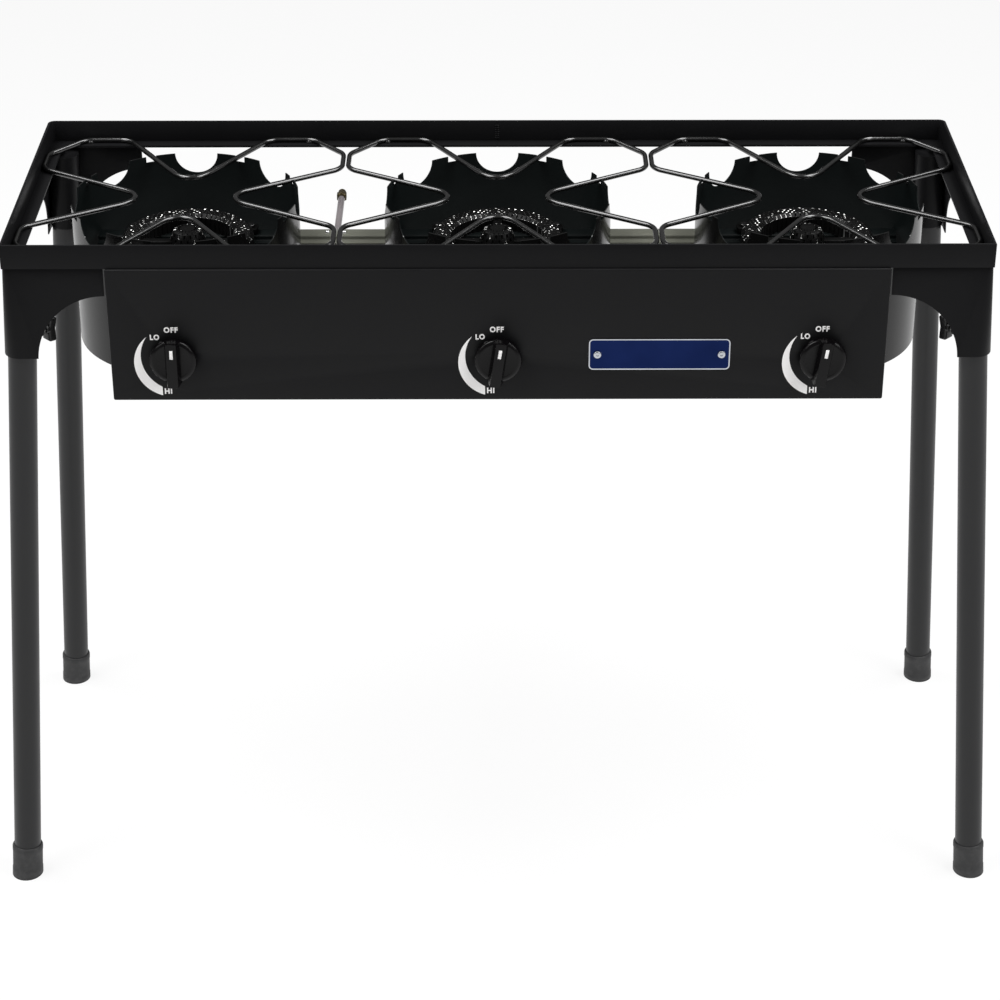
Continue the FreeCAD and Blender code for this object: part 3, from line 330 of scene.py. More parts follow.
def powder_coat(name, colour, roughness, peel_mm, peel_depth_mm, gloss):
    """Paint baked on steel: a fine orange peel, and cloudy patches of more or less gloss."""
    material, tree = blank(name)
    cloud = grain(tree, 85, 4.0, 0.6)
    return cover(material, {"Specular IOR Level": gloss},
                 {"Base Color": blend(tree, cloud, linear(colour), shade_of(colour, 1.25)),
                  "Roughness": vary(tree, cloud, roughness - 0.04, roughness + 0.05, 0.3, 0.7),
                  "Normal": dent(tree, grain(tree, peel_mm, 2.0, 0.4), peel_depth_mm, 0.5)})


# Satin black: the frame looks nearly flat, and only its eased edges draw fine grey lines.
frame_paint = powder_coat("frame_black_powder_coat", "#121213", 0.38, 1.1, 0.05, 0.08)

upright = begin_box("rim_upright", (half_width - rim_gauge, -half_depth, rim_bottom),
                    (half_width, half_depth - rim_bend, rim_top))
pick_side(upright, "+y")
bpy.ops.mesh.spin(steps=10, angle=-math.pi / 2, axis=(0, 0, 1),
                  center=(half_width - rim_bend, half_depth - rim_bend, 0))
pick(upright, "FACE", lambda at, normal: at.x < half_width - rim_bend + SLACK and abs(normal.x) > 0.9)
grow((rim_bend - half_width, 0, 0))
pick(upright, "VERT", lambda at, normal: at.x < half_width - SLACK and at.y < -half_depth + SLACK)
shift((0, rim_gauge, 0))
outwards(upright)
ease(upright, rim_edge)

shelf = begin_box("rim_shelf", (half_width - ledge, half_depth - ledge, rim_bottom),
                  (half_width - rim_gauge, half_depth - rim_gauge, rim_bottom + rim_gauge))
pick_side(shelf, "-y")
grow((0, ledge + rim_gauge - 2 * half_depth, 0))
pick(shelf, "FACE", lambda at, normal: normal.x < -0.9 and at.y > half_depth - ledge)
grow((ledge - half_width, 0, 0))
pick(shelf, "VERT", lambda at, normal: at.x < half_width - ledge + SLACK and at.y < -half_depth + ledge)
shift((0, ledge - rim_gauge, 0))
outwards(shelf)
ease(shelf, rim_edge)
rim_right = join("rim_right_half", upright, shelf)
rim_left = twin(rim_right, "rim_left_half", flip=(-1, 1, 1))
fit(rim_right, "stand", "frame_paint", frame_paint, "rim_right")
fit(rim_left, "stand", "frame_paint", frame_paint, "rim_left")

front = begin_box("rim_front_upright", (-half_width, -half_depth, rim_bottom),
                  (half_width, rim_gauge - half_depth, rim_top))
for side in (-1, 1):
    pick(front, "VERT", lambda at, normal: at.y > -half_depth + SLACK and at.x * side > 0)
    shift((-rim_gauge * side, 0, 0))
ease(front, rim_edge)
inner = begin_box("rim_front_shelf", (rim_gauge - half_width, rim_gauge - half_depth, rim_bottom),
                  (half_width - rim_gauge, ledge - half_depth, rim_bottom + rim_gauge))
for side in (-1, 1):
    pick(inner, "VERT", lambda at, normal: at.y > -half_depth + ledge - SLACK and at.x * side > 0)
    shift(((rim_gauge - ledge) * side, 0, 0))
ease(inner, rim_edge)
front = join("rim_front_angle", front, inner)
fit(front, "stand", "frame_paint", frame_paint, "rim_front")


# Weld. Where the two halves of the frame meet behind, the butt joint is closed by a short
# run of weld beads on the inside, one overlapping ripple after the other, painted over.
bead_radius, bead_pitch, bead_sway = 2.2 * MM, 2.6 * MM, 0.3 * MM
bead = begin("uv_sphere", "bead", segments=16, ring_count=10, radius=bead_radius,
             location=(0, half_depth - rim_gauge, rim_bottom + 6 * MM), scale=(1.3, 0.35, 0.7))
close()
beads = [twin(bead, f"bead_{step}", move=(bead_sway * (step % 2), 0, bead_pitch * step)) for step in range(1, 7)]
weld = join("back_weld", bead, *beads)
smooth(weld, 60)
fit(weld, "stand", "frame_paint", frame_paint)


# Corner brackets. 1.5 mm sheet steel, rolled round the leg socket and welded under the
# frame: a tight corner at the top, a round one below, and a curved gusset arm each way.
bracket_gauge = 1.5 * MM
arm_length = 110 * MM
gusset_curve = 77 * MM
top_bend = 6 * MM
socket_radius = 19.2 * MM
lean = math.tan(math.radians(3.7))
foot_x, foot_y = 572 * MM, 212 * MM
corners = {"front_left": (-1, -1), "front_right": (1, -1), "back_left": (-1, 1), "back_right": (1, 1)}
bracket_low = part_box("bracket_back_right")[0].z


def near(one, other):
    """Whether two measures are the same to a hundredth of a millimetre."""
    return abs(one - other) < SLACK


def drum(name, radius, first, second, low, high, along="Y", steps=64, fill="NGON"):
    """A round bar from low to high along one axis, at its other two coordinates, open for modelling."""
    turn = {"X": (0, math.pi / 2, 0), "Y": (math.pi / 2, 0, 0), "Z": (0, 0, 0)}[along]
    middle = (low + high) / 2
    place = {"X": (middle, first, second), "Y": (first, middle, second), "Z": (first, second, middle)}[along]
    return begin("cylinder", name, vertices=steps, radius=radius, depth=high - low, rotation=turn, location=place,
                 end_fill_type=fill)


def drop(*pieces):
    """Delete patterns and cutters that are used up."""
    for piece in pieces:
        bpy.data.objects.remove(piece)


def cut(piece, cutter, operation="DIFFERENCE"):
    """Boolean one piece with another, which is used up."""
    finish_with(piece, "BOOLEAN", object=cutter, operation=operation, solver="EXACT")
    drop(cutter)


def thicken(piece, gauge, offset=-1):
    """Give a sheet its gauge, inwards unless told otherwise."""
    finish_with(piece, "SOLIDIFY", thickness=gauge, offset=offset)


def draw_out(step):
    """Draw an edge out of each selected corner."""
    bpy.ops.mesh.extrude_vertices_move(TRANSFORM_OT_translate={"value": step})


arm_x, arm_y = half_width - arm_length, half_depth - arm_length
bracket = None
for height, bend in ((bracket_low, socket_radius), (rim_bottom, top_bend)):
    outer_x, outer_y = (foot - lean * height + socket_radius for foot in (foot_x, foot_y))
    ring = begin("circle", "bend", vertices=48, radius=bend, location=(outer_x - bend, outer_y - bend, height))
    pick(ring, "VERT", lambda at, normal: at.x < outer_x - bend - SLACK or at.y < outer_y - bend - SLACK)
    bpy.ops.mesh.delete(type="VERT")
    pick(ring, "VERT", lambda at, normal: near(at.y, outer_y))
    draw_out((arm_x - outer_x + bend, 0, 0))
    pick(ring, "VERT", lambda at, normal: near(at.x, outer_x))
    draw_out((0, arm_y - outer_y + bend, 0))
    bracket = join("bracket_back_right_sheet", bracket, ring) if bracket else ring
reopen(bracket)
bpy.ops.mesh.bridge_edge_loops()
outwards(bracket)
if bracket.data.polygons[0].normal.dot(Vector((1, 1, 0))) < 0:
    bracket.data.flip_normals()
thicken(bracket, bracket_gauge)
curve_height = bracket_low - 3 * MM
for along, beside, middle in (("Y", arm_x, half_depth), ("X", arm_y, half_width)):
    curve = drum("gusset_curve", gusset_curve, beside, curve_height, middle - 60 * MM, middle + 60 * MM, along, 96)
    cut(bracket, curve)
ease(bracket, 0.35 * MM, 2, 40)
for place_name, (side, end) in corners.items():
    made = twin(bracket, f"bracket_{place_name}_sheet", flip=(side, end, 1))
    fit(made, "stand", "frame_paint", frame_paint, f"bracket_{place_name}")
drop(bracket)


# Legs. 1 1/4 inch steel tube with a 1.2 mm wall, black powder coated, held in the socket by
# the clamp screw. A moulded rubber cap with a thicker rim stands level on the floor.
leg_radius = 31.75 / 2 * MM
leg_wall = 1.2 * MM
cap_wall = 2 * MM
# How much longer a leg is than it stands high.
lean_stretch = math.sqrt(1 + 2 * lean * lean)
# Glossier than the frame, so that each round tube shows as a soft grey band.
leg_paint = powder_coat("leg_black_powder_coat", "#1b1b1c", 0.38, 1.0, 0.04, 0.35)


def stretch(scale, centre):
    """Scale what is selected about a place."""
    bpy.ops.transform.resize(value=scale, center_override=centre)


def split(axis, at, part=None):
    """Cut the open piece across an axis; a part "above" or "below" is taken off and the cut closed."""
    way = {"X": (1, 0, 0), "Z": (0, 0, 1)}[axis]
    bpy.ops.mesh.bisect(plane_co=[at * share for share in way], plane_no=way, use_fill=bool(part),
                        clear_inner=part == "below", clear_outer=part == "above")


def lean_out(piece, side, end):
    """Stand a piece made along Z on the leaning axis of one leg, its X turned inwards."""
    up = Vector((-side * lean, -end * lean, 1)).normalized()
    inward = Vector((-side, -end, 0)).normalized()
    inward = (inward - up * inward.dot(up)).normalized()
    across = up.cross(inward)
    turn = Matrix((inward, across, up)).transposed().to_4x4()
    piece.data.transform(Matrix.Translation((foot_x * side, foot_y * end, 0)) @ turn)


def moulded_rubber(name, colour, scuffed):
    """Matt butyl rubber with a fine grain and a dusting of paler scuffs."""
    material, tree = blank(name)
    dust = vary(tree, grain(tree, 9, 6.0, 0.7), 0, 1, 0.45, 0.8)
    return cover(material, {"Roughness": 0.62, "IOR": 1.52},
                 {"Base Color": blend(tree, dust, linear(colour), linear(scuffed)),
                  "Normal": dent(tree, grain(tree, 0.7, 3.0), 0.06, 0.6)})


# Dark grey and dead matt, so that the caps end the shine of the tubes.
rubber = moulded_rubber("foot_moulded_rubber", "#262627", "#3b3b3b")
leg_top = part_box("leg_front_right")[1].z * lean_stretch - 1 * MM
tube = drum("leg_tube", leg_radius, 0, 0, 10 * MM, leg_top, "Z", 96, "NOTHING")
thicken(tube, leg_wall)
smooth(tube)

cap = begin("circle", "foot_cap", vertices=96, radius=leg_radius + cap_wall + 0.6 * MM, location=(0, 0, -3 * MM),
            fill_type="NGON")
# Rise and change of radius of each step up the cap, in millimetres.
cap_profile = ((12, -0.2), (1, -0.4), (23, 0), (1, 0.35), (5, 0), (1.2, -0.5), (1.8, -0.9), (0, -0.6))
for rise, change in cap_profile:
    now = max(vert.co.xy.length for vert in bmesh.from_edit_mesh(cap.data).verts if vert.select)
    grow((0, 0, rise * MM))
    scale = (now + change * MM) / now
    stretch((scale, scale, 1), (0, 0, 0))
outwards(cap)
ease(cap, 0.3 * MM, 2, 30)
for place_name, (side, end) in corners.items():
    leg = twin(tube, f"leg_{place_name}_tube")
    lean_out(leg, side, end)
    fit(leg, f"leg_{place_name}", "leg_paint", leg_paint, f"leg_{place_name}")
    foot = twin(cap, f"foot_{place_name}_cap")
    lean_out(foot, side, end)
    reopen(foot)
    split("Z", 0.1 * MM, "below")
    fit(foot, f"leg_{place_name}", "rubber", rubber, f"foot_{place_name}")
drop(tube, cap)


# Clamp screws. A zinc-plated M6 screw in a weld nut, with a moulded black nylon head of two
# lobes for finger and thumb, one inside each corner. The sockets are steel sleeves.
clamp_height = 704 * MM * lean_stretch
# Black nylon with a soft shine on its lobes.
clamp_plastic = powder_coat("clamp_black_nylon", "#111112", 0.35, 0.7, 0.04, 0.4)
# Passivated zinc: a dull, cloudy light grey.
zinc_steel = powder_coat("zinc_plated_steel", "#8f908e", 0.3, 0.5, 0.02, 0.5)
tip = leg_radius + 0.35 * MM
lobe_middle, lobe_size = tip + 21 * MM, (10 * MM, 15 * MM, 28 * MM)
lobe_waist = 0.62
head = begin("cube", "clamp_head", size=1, location=(lobe_middle, 0, clamp_height), scale=lobe_size)
pick_all()
split("Z", clamp_height)
pick(head, "VERT", lambda at, normal: near(at.z, clamp_height))
stretch((1, lobe_waist, 1), (lobe_middle, 0, clamp_height))
ease(head, 2.2 * MM, 4, 25)
collar = drum("clamp_collar", 6 * MM, 0, clamp_height, tip + 13 * MM, tip + 18 * MM, "X", 48)
ease(collar, 0.5 * MM)
shank = drum("clamp_shank", 3 * MM, 0, clamp_height, tip, tip + 15 * MM, "X", 32)
smooth(shank)
for place_name, (side, end) in corners.items():
    made = join(f"clamp_{place_name}_head", twin(head, "lobes"), twin(collar, "collar"))
    lean_out(made, side, end)
    fit(made, f"clamp_{place_name}", "clamp_plastic", clamp_plastic, f"clamp_screw_{place_name}")
    screw = twin(shank, f"clamp_{place_name}_shank")
    lean_out(screw, side, end)
    fit(screw, f"clamp_{place_name}", "clamp_plastic", zinc_steel)
drop(head, collar, shank)


# Control panel. One tray of 1.5 mm sheet steel, folded back on all sides with small bends,
# its bottom carried on as a shelf for the wind screens. Screwed up under the front rail.
panel_low, panel_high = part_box("control_panel")
panel_face = panel_low.y
panel_gauge = 1.5 * MM
panel_return = 20 * MM
panel_fold = 2.2 * MM
shelf_inset = 12 * MM
drill_radius = 7 * MM
knob_height = 685 * MM
cell_pitch = 358 * MM
cells = {"left": -cell_pitch, "middle": 0, "right": cell_pitch}
# Satin black with a finer peel and more haze than the frame, so that it reads a shade lighter.
panel_paint = powder_coat("panel_black_powder_coat", "#131314", 0.46, 0.9, 0.04, 0.13)

panel = begin_box("panel_sheet", panel_low, (panel_high.x, panel_face + panel_return, panel_high.z))
pick_side(panel, "+y")
bpy.ops.mesh.delete(type="ONLY_FACE")
pick(panel, "EDGE", lambda at, normal: at.y < panel_face + panel_return - SLACK)
bpy.ops.mesh.bevel(offset=panel_fold, segments=4, affect="EDGES")
pick(panel, "EDGE", lambda at, normal: near(at.y, panel_face + panel_return) and near(at.z, panel_low.z)
     and abs(at.x) < panel_high.x / 2)
grow((0, 1 * MM, 0))
bpy.ops.transform.resize(value=((panel_high.x - shelf_inset) / (panel_high.x - panel_fold), 1, 1))
grow((0, panel_high.y - panel_face - panel_return - 1 * MM, 0))
thicken(panel, panel_gauge)
for x in cells.values():
    cut(panel, drum("valve_drill", drill_radius, x, knob_height, panel_face - 6 * MM, panel_face + 6 * MM, "Y", 48))
ease(panel, 0.3 * MM)
fit(panel, "stand", "panel_paint", panel_paint, "control_panel")


# Dial prints. White enamel ink, screen printed round each valve: a crescent that widens from
# LO to HI, and the words OFF, LO and HI. The ink stands a tenth of a millimetre proud.
def screen_ink(name, thin, thick):
    """Matt white ink, a little thinner where the threads of the printing screen stood."""
    material, tree = blank(name)
    return cover(material, {"Roughness": 0.55},
                 {"Base Color": blend(tree, grain(tree, 0.8, 3.0), linear(thin), linear(thick))})


# Clean bright white, the strongest contrast on the stand.
ink = screen_ink("dial_screen_printed_ink", "#e9e7e6", "#f6f5f4")
ink_proud = 0.12 * MM
# Across, above and radius of the two circles whose difference is the crescent, and its square end.
crescent_outside = (-2.4 * MM, -6.4 * MM, 41.7 * MM)
crescent_inside = (6.4 * MM, 1.6 * MM, 42.8 * MM)
crescent_end = -14.6 * MM
# Boldness and depth as shares of the letter size, and the spacing as a factor.
letter_weight, letter_depth, letter_gap = 0.042, 0.1, 1.18
# Across, above, width and height of each word, in millimetres from the knob's middle.
words = {"OFF": (-1.5, 34.4, 15.4, 6.9), "LO": (-19.8, 25.5, 10.2, 6.7), "HI": (-8.3, -41, 8.2, 6.9)}


def print_word(word, x, z, width, height):
    """One word, set bold, sized to its print and laid on the panel."""
    bpy.ops.object.select_all(action="DESELECT")
    bpy.ops.object.text_add()
    made = bpy.context.object
    made.data.body = word
    made.data.offset = letter_weight
    made.data.space_character = letter_gap
    made.data.extrude = letter_depth
    made.data.resolution_u = 6
    bpy.ops.object.convert(target="MESH")
    low = Vector(made.bound_box[0])
    high = Vector(made.bound_box[6])
    middle = (low + high) / 2
    sizing = Matrix.Diagonal((width / (high.x - low.x), height / (high.y - low.y), ink_proud / letter_depth, 1))
    upright_turn = Matrix.Rotation(math.pi / 2, 4, "X")
    made.data.transform(Matrix.Translation((x, panel_face, z)) @ upright_turn @ sizing
                        @ Matrix.Translation(-middle))
    return made


for place_name, x in cells.items():
    crescent, inside = (
        drum("crescent", radius, x + across, knob_height + above, panel_face - depth, panel_face + depth, "Y", 128)
        for (across, above, radius), depth in ((crescent_outside, ink_proud), (crescent_inside, 2 * ink_proud)))
    cut(crescent, inside)
    reopen(crescent)
    split("X", x + crescent_end, "above")
    close()
    marks = [print_word(word, x + across * MM, knob_height + above * MM, width * MM, height * MM)
             for word, (across, above, width, height) in words.items()]
    dial = join(f"dial_print_{place_name}", crescent, *marks)
    fit(dial, "stand", "panel_paint", ink)


# Nameplate. A stamped aluminium plate, anodised navy with a bare bright edge line, held by
# two pop rivets. It carries no print.
def brushed_metal(name, colour, roughness, grain_mm, depth_mm):
    """Metal brushed or rolled along X, its fine scratches drawn out lengthwise."""
    material, tree = blank(name)
    scratch = grain(tree, grain_mm, 4.0, 0.7, squash=(0.04, 1, 1))
    return cover(material, {"Metallic": 1.0},
                 {"Base Color": blend(tree, grain(tree, 40, 3.0), shade_of(colour, 0.75), shade_of(colour, 1.3)),
                  "Roughness": vary(tree, scratch, roughness - 0.06, roughness + 0.08),
                  "Normal": dent(tree, scratch, depth_mm, 0.4)})


def inset(width, rise=0.0, each=False):
    """Inset the selected faces, together or each by itself, and raise or sink them."""
    bpy.ops.mesh.inset(thickness=width, depth=rise, use_individual=each)


# Deep blue that darkens to black away from the light, under a bright brushed edge line and rivets.
navy = brushed_metal("nameplate_navy_anodised", "#17244f", 0.3, 0.6, 0.02)
bare_aluminium = brushed_metal("bare_aluminium", "#c9ccd2", 0.32, 0.6, 0.02)
plate_low = Vector((100 * MM, panel_face - 1 * MM, 670 * MM))
plate_high = Vector((256 * MM, panel_face, 707.5 * MM))
plate_corner = 5 * MM
edge_line = 1.3 * MM

plate = begin_box("nameplate", plate_low, plate_high)
pick(plate, "EDGE", lambda at, normal: near(at.y, (plate_low.y + plate_high.y) / 2))
bpy.ops.mesh.bevel(offset=plate_corner, segments=6, affect="EDGES")
pick_side(plate, "-y")
inset(edge_line, -0.25 * MM)
ease(plate, 0.12 * MM, 2, 30)
fit(plate, "stand", "panel_paint", bare_aluminium)
give(plate, navy)
for face in plate.data.polygons:
    inside_x = plate_low.x + edge_line < face.center.x < plate_high.x - edge_line
    inside_z = plate_low.z + edge_line < face.center.z < plate_high.z - edge_line
    if face.normal.y < -0.9 and inside_x and inside_z and face.center.y > plate_low.y + 0.2 * MM:
        face.material_index = 1
for rivet_name, x in (("left", plate_low.x + 9.5 * MM), ("right", plate_high.x - 9.5 * MM)):
    rivet = drum(f"nameplate_rivet_{rivet_name}", 4.2 * MM, x, (plate_low.z + plate_high.z) / 2,
                 plate_low.y - 1.2 * MM, plate_low.y + 0.4 * MM, "Y", 48)
    pick_side(rivet, "-y")
    inset(1 * MM, 0.5 * MM)
    inset(1.7 * MM, 0.1 * MM)
    inset(0.2 * MM, -1.1 * MM)
    ease(rivet, 0.2 * MM, 2, 25)
    fit(rivet, "stand", "panel_paint", bare_aluminium)


# Knobs. Glossy black ABS mouldings pressed on the valve stems: a dished round skirt, a raised
# bar to grip and a white index line filled into its upper end.
def moulded_plastic(name, colour, roughness):
    """Glossy plastic out of a polished mould: a faint ripple, dulled here and there by fingers."""
    material, tree = blank(name)
    return cover(material, {"Base Color": linear(colour), "IOR": 1.53, "Specular IOR Level": 0.17},
                 {"Roughness": vary(tree, grain(tree, 2.5, 5.0, 0.65), roughness, roughness + 0.1, 0.35, 0.75),
                  "Normal": dent(tree, grain(tree, 7, 1.0), 0.02, 0.5)})


# Deep black that catches the lights along the edges of the grip and the rim of the skirt.
knob_plastic = moulded_plastic("knob_gloss_black_abs", "#060506", 0.2)
knob_radius = 26 * MM
knob_back, knob_front = panel_face - 2 * MM, panel_face - 22 * MM
skirt_depth = 7.5 * MM
grip_half = 9.2 * MM
grip_reach = knob_radius + 1.2 * MM
# Degrees that each knob stands turned at rest.
knob_turns = {"left": 0, "middle": 8, "right": 8}

for place_name, x in cells.items():
    skirt = drum("skirt", knob_radius, 0, 0, knob_back - skirt_depth, knob_back, "Y", 96)
    pick_side(skirt, "-y")
    inset(4.5 * MM)
    shift((0, -2.6 * MM, 0))
    inset(2.5 * MM, -0.8 * MM)
    ease(skirt, 1.6 * MM, 5, 25)
    grip = begin_box("grip", (-grip_half, knob_front, -grip_reach),
                     (grip_half, knob_back - skirt_depth + 1 * MM, grip_reach))
    pick_side(grip, "-y")
    stretch((0.62, 1, 0.99), (0, knob_front, 0))
    round_off = drum("round_off", grip_reach - 0.4 * MM, 0, 0, knob_front - 30 * MM, knob_front + 30 * MM, "Y", 128)
    cut(grip, round_off, "INTERSECT")
    ease(grip, 1.4 * MM, 4, 35)
    index = begin_box("index_line", (-1.8 * MM, knob_front - 0.1 * MM, 9 * MM),
                      (1.8 * MM, knob_front + 0.4 * MM, 19.5 * MM))
    ease(index, 0.15 * MM)
    knob = join(f"knob_{place_name}_moulding", skirt, grip)
    turn = Matrix.Translation((x, 0, knob_height)) @ Matrix.Rotation(math.radians(knob_turns[place_name]), 4, "Y")
    for piece in (knob, index):
        piece.data.transform(turn)
    index.name = f"knob_{place_name}_index"
    fit(knob, f"knob_{place_name}", "knob_plastic", knob_plastic, f"knob_{place_name}")
    fit(index, f"knob_{place_name}", "knob_plastic", ink)


# Wind screens. Each is one strip of 1.2 mm sheet steel, blanked with eight scallops and eight
# notches along its top, rolled to a cylinder and spot-welded at a lap seam behind. Painted
# with black heat-proof paint that is glossier inside, where it was sprayed thick.
screen_low, screen_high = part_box("screen_middle")
screen_radius = screen_high.x
screen_gauge = 1.2 * MM
scallop_radius = 25 * MM
scallop_turns = (0, 47.5, 90, 132.5)
notch_width, notch_depth = 12.5 * MM, 7 * MM
notch_turns = (24, 66, 114, 156)
tube_hole_radius = 23 * MM
rail_low, rail_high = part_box("burner_rail_back")
rail_web, rail_lip, rail_gauge = 20 * MM, 8 * MM, 2 * MM
rail_gap = 0.5 * MM
seam_width = 14 * MM
spot_radius, spot_first, spot_pitch = 2.4 * MM, 18, 30
# Glossy outside, so that the drums carry long upright reflections; dead matt blue-black inside. The same inside black
# is laid on the rails within each drum as painted shade.
screen_paint = powder_coat("screen_heat_proof_paint", "#0c0c0c", 0.2, 1.4, 0.03, 0.35)
scorched_and_shade_paint = powder_coat("scorched_and_painted_shade_black", "#080c0c", 0.55, 2.2, 0.06, 0.1)

screen = drum("screen_strip", screen_radius, 0, 0, screen_low.z, screen_high.z, "Z", 256, "NOTHING")
thicken(screen, screen_gauge)
for scallop_turn, notch_turn in zip(scallop_turns, notch_turns):
    scallop = begin("cylinder", "scallop", vertices=96, radius=scallop_radius, depth=3 * screen_radius,
                    location=(0, 0, screen_high.z), rotation=(math.pi / 2, 0, math.radians(scallop_turn)))
    cut(screen, scallop)
    notch = begin("cube", "notch", size=1, location=(0, 0, screen_high.z), rotation=(0, 0, math.radians(notch_turn)),
                  scale=(notch_width, 3 * screen_radius, 2 * notch_depth))
    cut(screen, notch)
cut(screen, drum("tube_hole", tube_hole_radius, 0, knob_height, -1.5 * screen_radius, -0.5 * screen_radius, "Y", 96))


def mark_faces(piece, material, test):
    """Give the faces that pass a test a second material."""
    give(piece, material)
    for face in piece.data.polygons:
        if test(face.center, face.normal):
            face.material_index = 1


def rail_slots(piece, side):
    """Cut the slots of one side that both burner rails pass through."""
    for end in (-1, 1):
        middle = (rail_low.y + rail_high.y) / 2 * end
        low_x, high_x = sorted((screen_radius * 0.5 * side, screen_radius * 1.2 * side))
        for half, top in ((rail_web / 2 + rail_lip, rail_low.z + rail_gauge), (rail_web / 2, rail_high.z)):
            slot = begin_box("rail_slot", (low_x, middle - half - rail_gap, rail_low.z - rail_gap),
                             (high_x, middle + half + rail_gap, top + rail_gap))
            cut(piece, slot)


seam = drum("lap_seam", screen_radius, 0, 0, screen_low.z + 1 * MM, screen_high.z - 33 * MM, "Z", 256, "NOTHING")
pick(seam, "FACE", lambda at, normal: abs(at.x) > seam_width / 2 or at.y < 0)
bpy.ops.mesh.delete(type="FACE")
thicken(seam, screen_gauge * 0.8, offset=1)
ease(seam, 0.25 * MM)
spots = []
for step in range(4):
    spot_height = screen_low.z + (spot_first + spot_pitch * step) * MM
    spot = begin("uv_sphere", f"weld_spot_{step}", segments=20, ring_count=10, radius=spot_radius, scale=(1, 0.18, 1),
                 location=(0, screen_radius + screen_gauge * 0.75, spot_height))
    smooth(spot, 60)
    spots.append(spot)
seam = join("lap_seam", seam, *spots)

for place_name, x in cells.items():
    made = twin(screen, f"screen_{place_name}_strip")
    for side in (-1, 1):
        if place_name == "middle" or (side > 0) == (place_name == "left"):
            rail_slots(made, side)
    ease(made, 0.28 * MM, 2, 50)
    finish_with(made, "WEIGHTED_NORMAL", keep_sharp=True)
    whole = join(f"screen_{place_name}_strip", made, twin(seam, "seam"))
    whole.data.transform(Matrix.Translation((x, 0, 0)))
    fit(whole, "stand", "screen_paint", screen_paint, f"screen_{place_name}")
    mark_faces(whole, scorched_and_shade_paint, lambda at, normal: (at.xy - Vector((x, 0))).dot(normal.xy) < 0
               and (at.xy - Vector((x, 0))).length < screen_radius - 0.5 * screen_gauge)
drop(screen, seam)


# Burner rails. Hat sections of 2 mm sheet, folded and painted olive grey, that run through
# slots in all three wind screens. A strap of sheet holds each screen to the front rail.
rail_rise = 8 * MM
# Olive grey with a soft gloss: the one light surface that shows through the grates.
rail_paint = powder_coat("rail_olive_grey_paint", "#5a5b52", 0.34, 0.8, 0.03, 0.4)

for rail_name, end in (("front", -1), ("back", 1)):
    middle = end * (rail_low.y + rail_high.y) / 2
    rail = begin("plane", f"burner_rail_{rail_name}_hat", size=1, location=(0, middle, rail_high.z))
    stretch((rail_high.x - rail_low.x, rail_web, 1), (0, middle, rail_high.z))
    for side in (-1, 1):
        pick(rail, "EDGE", lambda at, normal: near(at.y, middle + side * rail_web / 2))
        grow((0, 0, rail_gauge - rail_rise))
        grow((0, side * rail_lip, 0))
    pick_all()
    bpy.ops.mesh.normals_make_consistent(inside=False)
    pick(rail, "EDGE", lambda at, normal: near(abs(at.y - middle), rail_web / 2))
    bpy.ops.mesh.bevel(offset=2.4 * MM, segments=4, affect="EDGES")
    close()
    flat = max(rail.data.polygons, key=lambda face: face.area)
    if flat.normal.z < 0:
        rail.data.flip_normals()
    thicken(rail, rail_gauge)
    ease(rail, 0.25 * MM)
    reopen(rail)
    half_inside = math.sqrt((screen_radius - screen_gauge) ** 2 - middle ** 2)
    for x in cells.values():
        for side in (-1, 1):
            pick_all()
            split("X", x + side * half_inside)
    fit(rail, "stand", "rail_paint", rail_paint, f"burner_rail_{rail_name}")
    # Painted shade: within each drum the olive rail takes the matt near-black of the screen's inside, for the shade
    # that the drum casts on it.
    mark_faces(rail, scorched_and_shade_paint, lambda at, normal: any(abs(at.x - x) < half_inside for x in cells.values()))


def coat(node_name, material):
    """Give a CAD node that shows as it is its real material."""
    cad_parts[node_name].material_slots[0].material = material


for place_name in cells:
    coat(f"screen_bracket_{place_name}", screen_paint)


# Grates. Each is one length of 6 mm round steel wire, bent to four V-shaped fingers that point
# at the burner, butt-welded and dipped in glossy black enamel.
grate_low, grate_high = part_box("grate_middle")
wire_radius = 3 * MM
wire_height = (grate_low.z + grate_high.z) / 2
grate_half = 175.5 * MM
finger_reach, finger_bend = 60 * MM, 24.5 * MM
finger_angle = math.radians(31.4)
corner_cut, corner_bend = 46 * MM, 20 * MM
run_cut = 38 * MM
finger_tip = finger_reach + finger_bend - finger_bend / math.sin(finger_angle)
finger_root = (grate_half - finger_tip) * math.tan(finger_angle)
# Thick wet enamel, so that every wire carries one bright unbroken streak.
wire_enamel = powder_coat("grate_gloss_black_enamel", "#090909", 0.22, 4.0, 0.02, 0.9)

wire = begin("plane", "grate_loop", size=2 * grate_half, location=(0, 0, wire_height))
pick_all()
bpy.ops.mesh.bevel(offset=corner_cut, segments=1, affect="VERTICES")
pick(wire, "VERT", lambda at, normal: near(abs(at.y), grate_half))
stretch(((grate_half - run_cut) / (grate_half - corner_cut), 1, 1), (0, 0, wire_height))
pick(wire, "EDGE", lambda at, normal: near(abs(at.x), grate_half) or near(abs(at.y), grate_half))
bpy.ops.mesh.subdivide(number_cuts=3)
side_steps = {"x": (grate_half - corner_cut) / 2, "y": (grate_half - run_cut) / 2}
for axis, other in (("x", "y"), ("y", "x")):
    for side in (-1, 1):
        pick(wire, "VERT", lambda at, normal: near(getattr(at, axis), side * grate_half)
             and near(getattr(at, other), 0))
        stretch((finger_tip / grate_half,) * 2 + (1,), (0, 0, wire_height))
        pick(wire, "VERT", lambda at, normal: near(getattr(at, axis), side * grate_half)
             and near(abs(getattr(at, other)), side_steps[axis]))
        widen = finger_root / side_steps[axis]
        stretch((1, widen, 1) if axis == "x" else (widen, 1, 1), (0, 0, wire_height))


def round_corner(test, bend, angle):
    """Bend the wire at the corners that pass a test; angle is the corner's inside half."""
    pick(wire, "VERT", test)
    bpy.ops.mesh.bevel(offset=bend / math.tan(angle), segments=12, affect="VERTICES")


